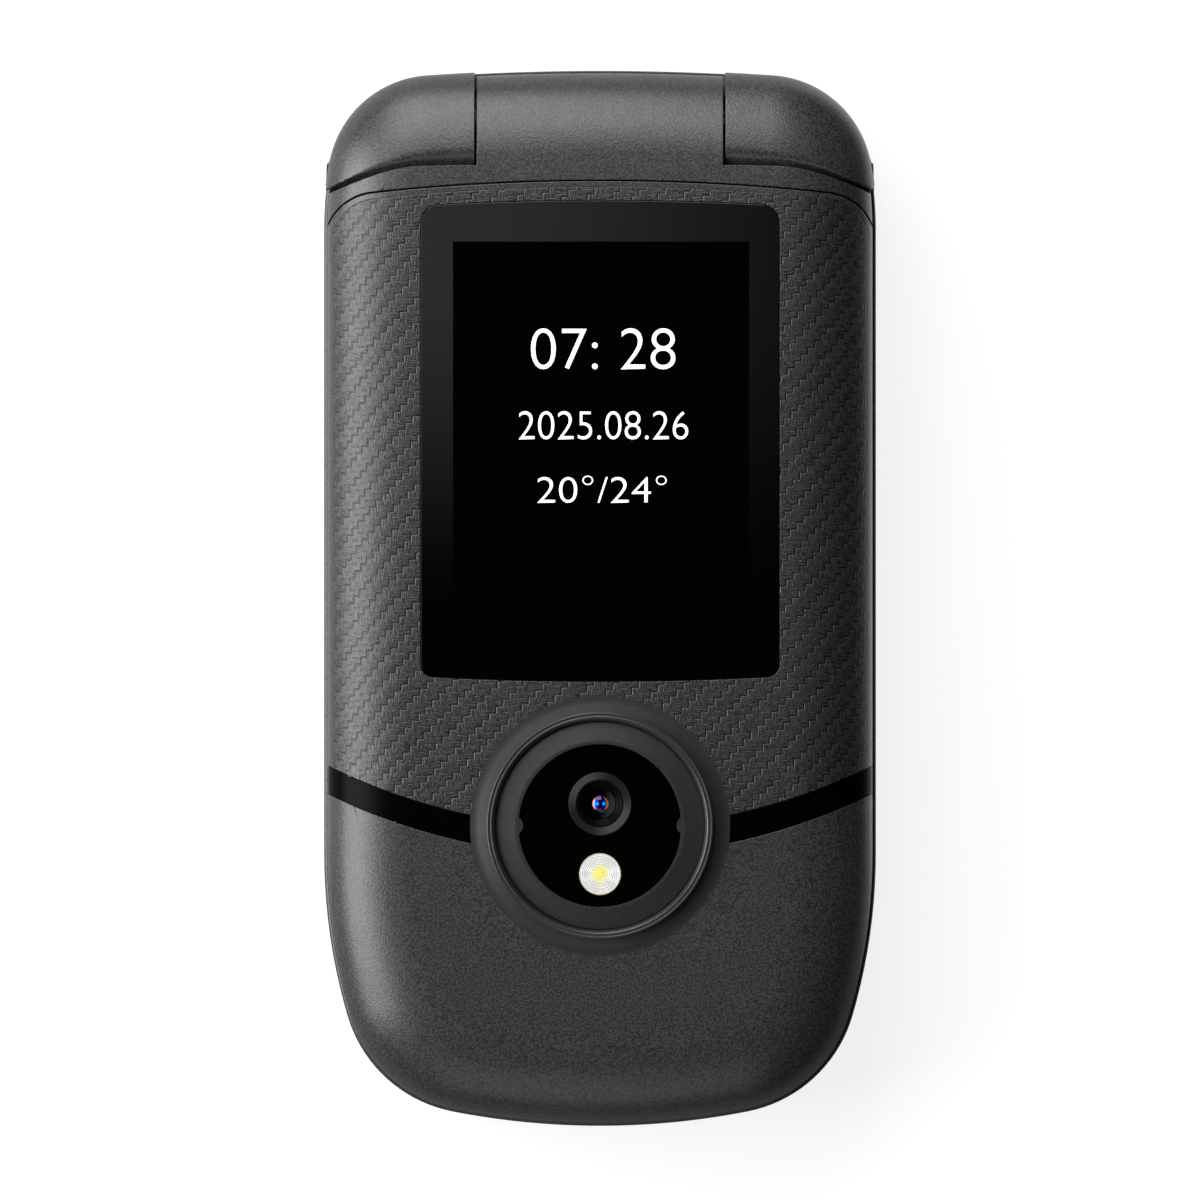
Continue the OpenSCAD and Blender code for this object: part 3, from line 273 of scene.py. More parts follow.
def ownNormals(obj, least=0.85):
    # A lent normal that leans far from its face came from the surface beside it, so the face's own goes there
    normals = []
    for face in obj.data.polygons:
        for index in face.loop_indices:
            lent = obj.data.corner_normals[index].vector
            normals.append(lent.copy() if lent.dot(face.normal) > least else face.normal.copy())
    obj.data.normals_split_custom_set(normals)


def smooth(obj, angle=32):
    only(obj)
    bpy.ops.object.shade_smooth_by_angle(angle=math.radians(angle), keep_sharp_edges=False)


class Wire:
    # An output of a node, which can be written in an expression with numbers and other wires
    def __init__(self, finish, socket):
        self.finish, self.socket = finish, socket

    def maths(self, operation, *values):
        return self.finish.node("Math", {"operation": operation}, dict(enumerate(values)))

    def __add__(self, other):
        return self.maths("ADD", self, other)

    def __sub__(self, other):
        return self.maths("SUBTRACT", self, other)

    def __rsub__(self, other):
        return self.maths("SUBTRACT", other, self)

    def __mul__(self, other):
        return self.maths("MULTIPLY", self, other)

    def __truediv__(self, other):
        return self.maths("DIVIDE", self, other)

    def __lt__(self, other):
        return self.maths("LESS_THAN", self, other)

    def __gt__(self, other):
        return self.maths("GREATER_THAN", self, other)

    def __pow__(self, other):
        return self.maths("POWER", self, other)

    def __abs__(self):
        return self.maths("ABSOLUTE", self)

    __radd__, __rmul__ = __add__, __mul__

    def beside(self, output):
        # Another output of the same node
        return Wire(self.finish, self.socket.node.outputs[output])

    def floor(self):
        return self.maths("FLOOR", self)

    def fraction(self):
        return self.maths("FRACT", self)

    def root(self):
        return self.maths("SQRT", self)

    def least(self, other):
        return self.maths("MINIMUM", self, other)

    def most(self, other):
        return self.maths("MAXIMUM", self, other)

    def step(self, low, high):
        # 0 up to low, 1 from high, and smooth between them
        settings = {"interpolation_type": "SMOOTHSTEP"}
        return self.finish.node("MapRange", settings, {"Value": self, "From Min": low, "From Max": high})


class Finish:
    # A material, and the nodes that make its colour, gloss and relief
    def __init__(self, name, colour, roughness, **constants):
        self.material = bpy.data.materials.new(name)
        self.material.use_nodes = True
        self.tree = self.material.node_tree
        self.shader = self.tree.nodes["Principled BSDF"]
        self.put("Base Color", (*colour, 1))
        self.put("Roughness", roughness)
        for key, constant in constants.items():
            self.put({"coat": "Coat Weight", "coatRoughness": "Coat Roughness", "metallic": "Metallic",
                      "specular": "Specular IOR Level", "emission": "Emission Strength"}[key], constant)

    def node(self, kind, settings=(), inputs=(), output=0):
        made = self.tree.nodes.new("ShaderNode" + kind)
        for key, setting in dict(settings).items():
            setattr(made, key, setting)
        for key, value in dict(inputs).items():
            if isinstance(value, Wire):
                self.tree.links.new(value.socket, made.inputs[key])
            else:
                made.inputs[key].default_value = value
        return Wire(self, made.outputs[output])

    def put(self, key, value):
        if isinstance(value, Wire):
            self.tree.links.new(value.socket, self.shader.inputs[key])
        else:
            self.shader.inputs[key].default_value = value

    def place(self):
        # Object coordinates in millimetres, as three wires
        x = self.node("SeparateXYZ", inputs={0: self.node("TexCoord", output="Object")})
        return [part * (1 / mm) for part in (x, x.beside("Y"), x.beside("Z"))]

    def point(self, x, y, z):
        return self.node("CombineXYZ", inputs={"X": x, "Y": y, "Z": z})

    def noise(self, size, detail=2.0, at=None):
        # Noise whose lumps are about size millimetres wide
        where = at or self.node("TexCoord", output="Object")
        scale = 1 / size if at else 1 / (size * mm)
        return self.node("TexNoise", inputs={"Vector": where, "Scale": scale, "Detail": detail}, output="Fac")

    def mix(self, share, first, second):
        # Between two colours, where share goes from 0 to 1
        def colour(value):
            return value if isinstance(value, Wire) else (*value, 1)
        inputs = {0: share, 6: colour(first), 7: colour(second)}
        return self.node("Mix", {"data_type": "RGBA"}, inputs, output=2)

    def bump(self, height, distance):
        # Relief whose height of 1 is distance millimetres
        inputs = {"Height": height, "Distance": distance * mm, "Strength": 1}
        self.put("Normal", self.node("Bump", inputs=inputs))

    def uneven(self, roughness, size, spread):
        # Gloss that varies a little in lumps of a size
        self.put("Roughness", self.noise(size, 2.0) * spread + (roughness - spread / 2))


def arcPoints(centre, radius, start, stop, count):
    return [(centre[0] + radius * math.cos(start + (stop - start) * i / count),
             centre[1] + radius * math.sin(start + (stop - start) * i / count)) for i in range(count + 1)]


def turnedPoints(points, turn, centre):
    # Points turned about the origin, then moved to a centre
    cosine, sine = math.cos(turn), math.sin(turn)
    return [(centre[0] + x * cosine - y * sine, centre[1] + x * sine + y * cosine) for x, y in points]


def crossing(firstCentre, firstRadius, secondCentre, secondRadius):
    # Where two circles cross, on the side of larger x
    first, second = Vector(firstCentre), Vector(secondCentre)
    gap = second - first
    distance = gap.length
    along = (distance ** 2 + firstRadius ** 2 - secondRadius ** 2) / (2 * distance)
    off = math.sqrt(firstRadius ** 2 - along ** 2)
    middle = first + gap * along / distance
    side = Vector((gap.y, -gap.x)) * off / distance
    return max(middle + side, middle - side, key=lambda point: point.x)


def endArcs(end, inset=0, counts=(10, 18, 16)):
    # Right half of one end, from the side to the middle of its arch, for an end that points to +Y
    reach, archRadius, cornerRadius, sideRadius, sideStart = outlineEnds[end]
    archCentre = Vector((0, reach - archRadius))
    sideCentre = Vector((half - sideRadius, sideStart))
    corner = crossing(archCentre, archRadius - cornerRadius, sideCentre, sideRadius - cornerRadius)
    toSide, toArch = corner - sideCentre, corner - archCentre
    sideAngle, archAngle = math.atan2(toSide.y, toSide.x), math.atan2(toArch.y, toArch.x)
    return (arcPoints(sideCentre, sideRadius - inset, 0, sideAngle, counts[0])
            + arcPoints(corner, cornerRadius - inset, sideAngle, archAngle, counts[1])[1:]
            + arcPoints(archCentre, archRadius - inset, archAngle, math.pi / 2, counts[2])[1:])


def outline(inset=0, end="hinge", sideParts=40):
    low = [(x, -y) for x, y in reversed(endArcs("chin", inset))]
    high = endArcs(end, inset)
    first, last = low[-1], high[0]
    side = [(first[0], first[1] + (last[1] - first[1]) * i / sideParts) for i in range(1, sideParts)]
    right = low + side + high
    return right + [(-x, y) for x, y in reversed(right[1:-1])]


def roundOver(width, height, steps, end=math.pi / 2):
    # Insets the selected face step by step along an ellipse, from upright up to the angle end
    turn = [end * i / steps for i in range(steps + 1)]
    for before, after in zip(turn, turn[1:]):
        inwards = width * (math.cos(before) - math.cos(after))
        up = height * (math.sin(after) - math.sin(before))
        bpy.ops.mesh.inset(thickness=inwards * mm, depth=up * mm, use_even_offset=True, use_boundary=True)


def pebble(name, inset=0, down=0, bottom=0, steps=body["roundSteps"], crowned=True):
    # Upright side, elliptical rounding and a crown, lowered by down
    obj = ring(name, [(x, y, bottom) for x, y in outline(inset)])
    width, height = body["roundWidth"] - inset, body["roundHeight"] - down
    editAll(obj)
    extrude(hingeZ - bottom)
    roundOver(width, height, steps, body["domeEnd"])
    if crowned:
        rings = body["crownRings"]
        for i in range(1, rings):
            share, before = 1 - i / rings, 1 - (i - 1) / rings
            extrude(body["crown"] * (before ** 2 - share ** 2))
            bpy.ops.transform.resize(value=(share / before, share / before, 1), center_override=(0, 0, 0))
    objectMode()
    outwards(obj)
    return obj


def foot(name, shrink=0):
    # The lower form of the base, made downwards: the upright side, then the rounding under the base
    obj = ring(name, [(x, y, body["splitZ"]) for x, y in outline(shrink)])
    editAll(obj)
    bpy.ops.mesh.flip_normals()
    extrude(body["footHeight"] - body["splitZ"])
    roundOver(body["footWidth"] - shrink, body["footHeight"] - shrink, body["footSteps"])
    objectMode()
    outwards(obj)
    return obj


def aboutHinge(name, radius, grow, halfSpan):
    # Solid of revolution about the hinge axis, its radius changing with the square of x
    parts = 24
    side = [(radius + grow * (i / parts) ** 2, halfSpan * i / parts) for i in range(-parts, parts + 1)]
    profile = [(0, -halfSpan)] + side + [(0, halfSpan)]
    return turned(name, profile, (0, hingeY, hingeZ), axis="X", steps=192)


def block(name, low, high):
    points = [(low[0], low[1]), (high[0], low[1]), (high[0], high[1]), (low[0], high[1])]
    return prism(name, points, low[2], high[2])


def roundedPoints(width, length, radius, at=(0, 0), parts=10):
    x, y = width / 2 - radius, length / 2 - radius
    points = []
    for i, (signX, signY) in enumerate([(1, 1), (-1, 1), (-1, -1), (1, -1)]):
        centre = (at[0] + signX * x, at[1] + signY * y)
        points += arcPoints(centre, radius, math.pi / 2 * i, math.pi / 2 * (i + 1), parts)
    return points


def slab(name, width, length, radius, low, high, at=(0, 0)):
    return prism(name, roundedPoints(width, length, radius, at), low, high)


def post(name, radius, low, high, at, parts=48):
    return prism(name, arcPoints(at, radius, 0, fullTurn * (parts - 1) / parts, parts - 1), low, high)


# Hinge: two knuckles on the base, and the lid's barrel between them
knuckle = {
    "barrelHalf": 12.35,
    "barrelGap": 0.2,
    "swingRadius": 6.45,
    "swingGap": 0.35,
    "swingGrow": 0.3,
    "rollRadius": 5.62,
    "rollGrow": 0.8,
    "rollSoft": 0.25,
    "rollBack": 1.2,
    "tip": 0.65,
    "root": 0.8,
    "rootGap": 0.1,
}
barrelHalf, barrelGap = knuckle["barrelHalf"], knuckle["barrelGap"]
barrelDrop = barrelHalf ** 2 / (2 * outlineEnds["hinge"][1])
farOut = 2 * halfLength


def middleBlock(gap):
    # All that lies between the knuckles, with a gap more on each side
    reach = barrelHalf + gap
    return block("middle", (-reach, -farOut, -farOut), (reach, farOut, farOut))


def coverPlan(name, grow, low):
    return prism(name, outline(-grow, "cover"), low, topZ + 1)


# Lid: the inner housing, with its barrel and smooth band
tray = {
    "partLine": 0.15,
    "coverWall": 1.2,
    "coverGap": 0.1,
    "paneCorner": 2.5,
    "paneGap": 0.05,
    "earSlot": (10.8, 1.2),
    "bumperRadius": 1.6,
    "bumperSeat": 0.5,
    "bumperRound": (0.25, 0.3, 0.22),
}
innerLow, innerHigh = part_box("inner_window")
earLow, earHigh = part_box("earpiece")
earY = (earLow.y + earHigh.y) / 2 / mm


def makeLidForm():
    form = pebble("lidForm", lidStep, bottom=hingeZ - barrelRadius - 1)
    # The room it may fill: in front of the axis, clear of the knuckles' swing, and the barrel between them
    room = block("front", (-farOut, -farOut, lidLow.z / mm), (farOut, hingeY, farOut))
    swing = aboutHinge("swing", knuckle["swingRadius"], knuckle["swingGrow"], half)
    combine(room, combine(swing, middleBlock(-barrelGap / 2)))
    core = aboutHinge("core", barrelRadius, -barrelDrop, barrelHalf)
    combine(room, combine(core, middleBlock(-barrelGap / 2), "INTERSECT"), "UNION")
    return combine(form, room, "INTERSECT")


def makeInnerHousing():
    housing = makeLidForm()
    housing.name = "lidBand"
    room = coverPlan("room", tray["partLine"], body["trayZ"])
    root = aboutHinge("root", knuckle["swingRadius"] + knuckle["root"], knuckle["swingGrow"], half)
    shrink = lidStep + tray["coverWall"] + tray["coverGap"]
    under = prism("under", outline(shrink), body["trayZ"] - 1, domeZ - tray["coverWall"] - tray["coverGap"])
    combine(room, combine(root, under, "INTERSECT"))
    combine(housing, room)
    width, length = (innerHigh.x - innerLow.x) / mm, (innerHigh.y - innerLow.y) / mm
    middle = (innerHigh.y + innerLow.y) / 2 / mm
    deep, gap = innerHigh.z / mm + 0.02, tray["paneGap"]
    combine(housing, slab("pane", width + 2 * gap, length + 2 * gap, tray["paneCorner"],
                          body["lidZ"] - 1, deep, (0, middle)))
    slotWidth, slotLength = tray["earSlot"]
    combine(housing, slab("ear", slotWidth, slotLength, slotLength / 2 - 0.01, body["lidZ"] - 1,
                          earLow.z / mm + 0.5, (0, earY)))
    for spot, _ in islands("lid_bumpers"):
        combine(housing, post("seat", tray["bumperRadius"] + 0.05, body["lidZ"] - 1,
                              body["lidZ"] + tray["bumperSeat"], (spot.x, spot.y)))
    return softEdges(housing, body["lidEdge"], clean=0.05)


def islands(node):
    # Middle and half size, in millimetres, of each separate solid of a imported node
    mesh = frame["nodes"][node].data
    work = bmesh.new()
    work.from_mesh(mesh)
    bmesh.ops.remove_doubles(work, verts=work.verts, dist=0.001 * mm)
    found, left = [], set(work.verts)
    while left:
        group, queue = [], [left.pop()]
        while queue:
            vertex = queue.pop()
            group.append(vertex.co.copy())
            for edge in vertex.link_edges:
                other = edge.other_vert(vertex)
                if other in left:
                    left.discard(other)
                    queue.append(other)
        low = Vector([min(p[i] for p in group) for i in range(3)]) / mm
        high = Vector([max(p[i] for p in group) for i in range(3)]) / mm
        found.append(((low + high) / 2, (high - low) / 2))
    work.free()
    return sorted(found, key=lambda island: (round(island[0].y, 2), round(island[0].x, 2)))


# Lid: the front cover, with its window, ring seat and stripe groove
cover = {
    "windowGap": 0.05,
    "ledge": 1.4,
    "glassThick": 1.0,
    "windowCorners": (1.8, 1.3),
    "windowArch": 320,
    "ringGap": 0.05,
    "ringStep": 0.7,
    "stripeRadius": 62,
    "stripeWidth": 2.8,
    "stripeDepth": 0.35,
    "stripeTuck": 0.4,
    "stripeSpread": math.radians(32),
    "stripeRise": -0.3,
}
glassLow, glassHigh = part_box("outer_window")
bezelLow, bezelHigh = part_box("camera_bezel")
skirtRadius = bezelHigh.x / mm
cameraY = (bezelLow.y + bezelHigh.y) / 2 / mm
windowTop, windowBottom, windowHalf = glassHigh.y / mm, glassLow.y / mm, glassHigh.x / mm
stripeY = cameraY + cover["stripeRise"]


def windowOutline(grow=0):
    # Rounded rectangle whose two ends are arched
    arch = cover["windowArch"]
    points = []
    top, bottom = cover["windowCorners"]
    for sign, end, radius in ((1, windowTop, top), (-1, windowBottom, bottom)):
        archCentre = end - sign * arch
        wide = windowHalf - radius
        height = archCentre + sign * math.sqrt((arch - radius) ** 2 - wide ** 2)
        reach = math.atan2(wide, abs(height - archCentre))
        quarter = math.pi / 2 - reach
        right = arcPoints((wide, height), radius + grow, 0, sign * quarter, 10)
        over = arcPoints((0, archCentre), arch + grow, sign * quarter, sign * (math.pi - quarter), 40)[1:-1]
        left = [(-x, y) for x, y in reversed(right)]
        loop = right + over + left
        points += loop if sign > 0 else loop[::-1]
    return points


def stripeBand(gap):
    # The band between two equal circles, one higher than the other by the stripe's width
    radius, width = cover["stripeRadius"], cover["stripeWidth"]
    upper, lower = stripeY + radius - gap, stripeY - width + radius + gap
    left, right = -math.pi / 2 - cover["stripeSpread"], -math.pi / 2 + cover["stripeSpread"]
    low = arcPoints((0, lower), radius, left, right, 96)
    high = arcPoints((0, upper), radius, right, left, 96)
    band = prism("band", low + high, body["lidZ"], topZ + 1)
    return combine(band, post("tuck", skirtRadius - cover["stripeTuck"], 0, topZ + 2, (0, cameraY), 96))


def stripeFloor():
    # What lies under the stripe's groove
    depth = cover["stripeDepth"]
    return pebble("stripeFloor", lidStep + depth, down=depth, bottom=body["lidZ"] - 1, crowned=False)


def makeFrontCover():
    shell = pebble("lidCover", lidStep, bottom=body["trayZ"])
    combine(shell, coverPlan("plan", 0, body["trayZ"] - 1), "INTERSECT")
    wall = tray["coverWall"]
    combine(shell, pebble("hollow", lidStep + wall, down=wall, bottom=body["trayZ"] - 1, steps=8,
                          crowned=False))
    reach = knuckle["swingRadius"] + knuckle["root"] + knuckle["rootGap"]
    combine(shell, aboutHinge("end", reach, knuckle["swingGrow"], half))
    thick = cover["glassThick"]
    combine(shell, prism("pocket", windowOutline(cover["windowGap"]), domeZ - thick, topZ + 1))
    combine(shell, prism("opening", windowOutline(-cover["ledge"]), domeZ - 3, topZ + 1))
    combine(shell, post("ringSeat", skirtRadius + cover["ringGap"], bezelLow.z / mm + 1.0, topZ + 1,
                        (0, cameraY), 160))
    hole = skirtRadius - cover["ringStep"] + cover["ringGap"]
    combine(shell, post("ringHole", hole, domeZ - 3, topZ + 1, (0, cameraY), 160))
    combine(shell, combine(stripeBand(0), stripeFloor()))
    return softEdges(shell, body["lidEdge"], clean=0.06)


def makeStripe():
    stripe = pebble("stripe", lidStep, bottom=body["trayZ"])
    combine(stripe, stripeBand(0.025), "INTERSECT")
    combine(stripe, stripeFloor())
    combine(stripe, post("seat", skirtRadius + cover["ringGap"], 0, topZ + 2, (0, cameraY), 160))
    return softEdges(stripe, 0.05)


# Camera: its ring, trim, glass and lens
cameraRing = {
    "crestRadius": 11.15,
    "crestRise": 1.2,
    "crestBead": 0.11,
    "rimRadius": 10.7,
    "rimCurve": [(0.14, 0.02), (0.08, 0), (0, 0.03), (-0.08, 0.1), (-0.17, 0.22), (-0.25, 0.36), (-0.3, 0.5)],
    "beadDip": 0.05,
    "edgeRise": 0.26,
    "flareRise": 0.26,
    "flareReach": 0.22,
    "groove": 0.34,
    "glassRadius": 8.06,
    "notchRadius": 1.0,
    "notchIn": 0.42,
    "trimDrop": 0.42,
    "trimFall": 0.33,
    "trimLand": 0.32,
    "trimRound": 0.1,
    "glassDrop": 0.2,
    "glassThick": 0.5,
    "gap": 0.03,
    "steps": 256,
}
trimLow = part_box("camera_trim")[0]
lensLow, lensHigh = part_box("lens_ring")
flashLow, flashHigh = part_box("flash_lens")
lensY, flashY = (lensLow.y + lensHigh.y) / 2 / mm, (flashLow.y + flashHigh.y) / 2 / mm
lensRadius, flashRadius = lensHigh.x / mm, flashHigh.x / mm
crestZ = domeZ + cameraRing["crestRise"]
trimTop = crestZ - cameraRing["trimDrop"]
cameraGlassTop = trimTop - cameraRing["glassDrop"]


def makeRing():
    # A low flare round an upright wall, which carries two fine beads; inside them it falls to the trim
    edgeZ, rise = domeZ + cameraRing["edgeRise"], cameraRing["flareRise"]
    crest, rim, bead = cameraRing["crestRadius"], cameraRing["rimRadius"], cameraRing["crestBead"]
    lip = skirtRadius + cameraRing["flareReach"]
    start = crest + bead + 0.01
    flare = []
    for i in range(21):
        # Bends up in its first half and rises straight in its second
        share = i / 20
        height = share ** 2 if share < 0.5 else share - 0.25
        flare.append((lip - (lip - start) * share, edgeZ + 0.02 + rise * height / 0.75))
    neck = skirtRadius - cover["ringStep"]
    low, floor = bezelLow.z / mm, trimLow.z / mm
    inner = cameraRing["glassRadius"] + 0.5
    profile = [(inner, low), (neck, low), (neck, domeZ - 0.3), (skirtRadius, domeZ - 0.3)]
    profile += [(skirtRadius, edgeZ - 0.02), (lip, edgeZ - 0.02)] + flare + [(crest + bead, crestZ - 0.2)]
    profile += [(crest + bead * math.cos(math.radians(t)), crestZ - bead + bead * math.sin(math.radians(t)))
                for t in (0, 20, 40, 60, 80, 95)]
    dip = cameraRing["beadDip"]
    profile += [(crest - 0.1, crestZ - 0.02), (crest - 0.18, crestZ - dip), (rim + 0.22, crestZ - dip)]
    profile += [(rim + out, crestZ - down) for out, down in cameraRing["rimCurve"]]
    profile += [(rim - 0.3, floor), (inner, floor)]
    obj = turned("ring", profile, (0, cameraY, 0), steps=cameraRing["steps"])
    # The flare's outer edge lies on the crowned cover all the way round
    for vertex in obj.data.vertices:
        x, y, z = vertex.co / mm
        share = min(1, (math.hypot(x, y - cameraY) - start) / (skirtRadius - start))
        if share > 0 and z > edgeZ - 0.1:
            vertex.co.z += (crownZ(x, y) - edgeZ) * share * mm
    smooth(obj, 42)
    return obj


def cameraGlassPoints(grow):
    # A disc with a rounded notch at its left and at its right
    radius = cameraRing["glassRadius"] + grow
    notch, into = cameraRing["notchRadius"], cameraRing["notchIn"]
    spread = math.acos(1 - into / notch)
    rise = notch * math.sin(spread)
    flat = math.sqrt(radius ** 2 - rise ** 2)
    reach = math.acos(flat / radius)
    points = []
    for turn in (0, math.pi):
        side = [(flat + notch - into - notch * math.cos(angle), notch * math.sin(angle))
                for angle in [spread * (i / 8 - 1) for i in range(17)]]
        points += turnedPoints(side, turn, (0, cameraY))
        points += arcPoints((0, cameraY), radius, turn + reach, turn + math.pi - reach, 96)[1:-1]
    return points


def makeTrim():
    groove, gap = cameraRing["rimRadius"] - cameraRing["groove"], cameraRing["gap"]
    hole = cameraRing["glassRadius"] + gap
    low = trimLow.z / mm
    fall = cameraRing["trimFall"]
    edge, land = cameraRing["trimRound"], hole + cameraRing["trimLand"]
    profile = [(0, low), (groove, low), (groove, trimTop - fall - 0.08), (groove - edge, trimTop - fall)]
    for share in (0.04, 0.2, 0.4, 0.6, 0.8, 0.96):
        profile.append((groove - edge + (land - groove + edge) * share, trimTop - fall * (1 - share)))
    profile += [(land, trimTop), (land - 0.08, trimTop), (0, trimTop)]
    obj = turned("trim", profile, (0, cameraY, 0), steps=cameraRing["steps"])
    combine(obj, prism("glassHole", cameraGlassPoints(gap), low - 1, trimTop + 1))
    return softEdges(obj, 0.03, clean=0.01)


def makeCameraGlass():
    top = cameraGlassTop
    glass = prism("cameraGlass", cameraGlassPoints(0), top - cameraRing["glassThick"], top)
    for name, radius, y in (("lensHole", lensRadius, lensY), ("flashHole", flashRadius, flashY)):
        combine(glass, post(name, radius + cameraRing["gap"], 0, topZ + 2, (0, y), 96))
    return softEdges(glass, 0.04, clean=0.01)


lens = {
    "ringIn": 2.36,
    "ringProud": 0.11,
    "ringSlope": 0.05,
    "grooves": 6,
    "grooveDepth": 0.006,
    "steps": 4,
    "discRadius": 1.55,
    "frontRadius": 0.8,
    "frontRise": 0.24,
    # colours of the painted reflections at the front element's left and right edges
    "violetReflection": (0.72, 0.55, 0.80),
    "orangeReflection": (0.80, 0.20, 0.02),
    # each painted reflection in the coating, which glows by emission: place along x, squash, where it starts
    # and ends to fade, strength and colour
    "coatingReflections": [
        (-0.42, 0.45, (0.12, 0.42), 1.0, (0.02, 0.02, 0.95)),
        (0.42, 0.6, (0.08, 0.3), 0.8, (0.01, 0.05, 0.6)),
        (-0.3, 1.0, (0.05, 0.24), 1.0, (0.0, 0.65, 0.85)),
        (0.39, 1.0, (0.05, 0.2), 0.8, (0.0, 0.65, 0.85)),
    ],
}
lensFloor = lensLow.z / mm


def makeLensRing():
    # Cone that falls inwards, with fine turned grooves
    outer, inner = lensRadius - 0.06, lens["ringIn"] + 0.08
    top = cameraGlassTop + lens["ringProud"]
    profile = [(lens["ringIn"], lensFloor), (lensRadius, lensFloor), (lensRadius, top - 0.06), (outer, top)]
    for i in range(2 * lens["grooves"]):
        share = (i + 0.5) / (2 * lens["grooves"])
        dip = lens["grooveDepth"] if i % 2 else 0
        profile.append((outer + (inner - outer) * share, top - lens["ringSlope"] * share - dip))
    profile += [(inner, top - lens["ringSlope"]), (lens["ringIn"], top - lens["ringSlope"] - 0.08)]
    obj = turned("lensRing", profile, (0, lensY, 0), steps=160)
    smooth(obj, 20)
    return obj


def makeLensBarrel():
    # Black stepped cone inside the ring, on the tower and the square foot of the module
    low, high = (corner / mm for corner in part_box("camera_module"))
    inner, disc = lens["ringIn"] - 0.01, lens["discRadius"]
    start = cameraGlassTop - 0.05
    fall = start - lensFloor - 0.14
    profile = [(0, low.z + 2), (lensRadius - 0.02, low.z + 2), (lensRadius - 0.02, lensFloor - 0.05)]
    profile += [(inner, lensFloor - 0.05), (inner, start)]
    for i in range(lens["steps"]):
        share = (i + 1) / (lens["steps"] + 1)
        radius = inner - 0.1 - (inner - 0.1 - disc) * share
        before = start - fall * i / (lens["steps"] + 1)
        profile += [(radius + 0.1, before), (radius + 0.02, start - fall * share)]
    profile += [(disc + 0.03, lensFloor + 0.1), (disc + 0.03, lensFloor), (0, lensFloor)]
    tower = turned("lensBarrel", profile, (0, lensY, 0), steps=96)
    combine(tower, slab("foot", high.x - low.x, high.y - low.y, 0.8, low.z, low.z + 2.4, (0, lensY)), "UNION")
    return softEdges(tower, 0.02, clean=0.005)


def makeLensGlass():
    radius, rise = lens["frontRadius"], lens["frontRise"]
    bend = (radius ** 2 + rise ** 2) / (2 * rise)
    low, top, disc = lensFloor + 0.01, lensFloor + 0.08, lens["discRadius"]
    profile = [(0, low), (disc, low), (disc, top - 0.02), (disc - 0.02, top)]
    profile += [(radius + 0.04, top + 0.02), (radius + 0.01, top)]
    angles = [math.asin(radius / bend) * (1 - i / 12) for i in range(13)]
    profile += [(bend * math.sin(angle), top + bend * math.cos(angle) - bend + rise) for angle in angles]
    obj = turned("lensGlass", profile, (0, lensY, 0), steps=96)
    smooth(obj, 25)
    return obj


flash = {
    "ridges": 9,
    "ridgeDepth": 0.035,
    "middle": 0.3,
    "pitch": 0.25,
    "rim": 0.14,
    "dieApart": 0.34,
    "dieWide": (0.2, 0.36),
    "dieLong": (0.48, 0.72),
    "warm": (0.93, 0.91, 0.70),
    "white": (0.88, 0.88, 0.89),
    # painted shade at the left and right of the lens
    "shade": (0.50, 0.50, 0.58),
    "ring": (0.42, 0.41, 0.40),
    "die": (0.92, 0.84, 0.16),
    "border": (0.80, 0.74, 0.38),
}


def makeFlashLens():
    low, top, radius = flashLow.z / mm, flashHigh.z / mm, flashRadius
    reach = radius - flash["rim"]
    profile = [(0, low), (radius, low), (radius, top - 0.04), (radius - 0.04, top), (reach, top)]
    across = reach - flash["middle"]
    for i in range(flash["ridges"]):
        radius = reach - across * i / flash["ridges"]
        profile.append((radius - 0.02, top - flash["ridgeDepth"]))
        profile.append((radius - across / flash["ridges"] * 0.8, top))
    profile += [(0.2, top), (0, top)]
    obj = turned("flashLens", profile, (0, flashY, 0), steps=128)
    smooth(obj, 15)
    return obj


screw = {
    "headRadius": 1.3,
    "headHeight": 0.8,
    "headRound": 0.25,
    "shankRadius": 0.7,
    "cross": (1.5, 0.34, 0.45),
}

base = {
    "wall": 2.0,
    "rimRound": 0.4,
    "deckTop": 9.7,
    "deckThick": 1.0,
    "deckSide": 4.2,
    "deckChin": 14.6,
    "deckHinge": 10.5,
    "deckCorner": 5,
    "backTop": hingeY - 16,
    "backBottom": 12.6 - halfLength,
    "backHeight": 3.4,
    "backLine": 0.12,
    "backWall": 1.0,
    "batteryGap": 0.2,
    "bayCorner": 1.3,
    "slot": (1, 4.6, 0.49),
    "slotPitch": 2.2,
    "notchReach": 3.5,
    "notchDepth": 0.8,
    "keyGap": 0.15,
}
deckY0, deckY1 = base["deckChin"] - halfLength, hingeY - base["deckHinge"]
deckWidth = 2 * (half - base["deckSide"])


def edgeDepth(x, y):
    # How far inside the outline a place of the hinge end is
    reach, archRadius, cornerRadius, sideRadius, sideStart = outlineEnds["hinge"]
    archCentre, sideCentre = Vector((0, reach - archRadius)), Vector((half - sideRadius, sideStart))
    corner = crossing(archCentre, archRadius - cornerRadius, sideCentre, sideRadius - cornerRadius)
    place = Vector((x, y))
    away = place - corner
    toSide, toArch = corner - sideCentre, corner - archCentre
    if toSide.x * away.y - toSide.y * away.x > 0 and toArch.x * away.y - toArch.y * away.x < 0:
        return cornerRadius - away.length
    side = sideRadius - (place - sideCentre).length if y > sideStart else half - x
    return min(archRadius - (place - archCentre).length, side)


def pebbleZ(depth):
    # Height of the rounding at a depth inside the outline
    cosine = 1 - depth / body["roundWidth"]
    turn = min(body["domeEnd"], math.acos(max(0, min(1, cosine))))
    return hingeZ + body["roundHeight"] * math.sin(turn)


def rollAt(x):
    # Radius of the knuckles' roll about the axis
    return knuckle["rollRadius"] + knuckle["rollGrow"] * (x / half) ** 2


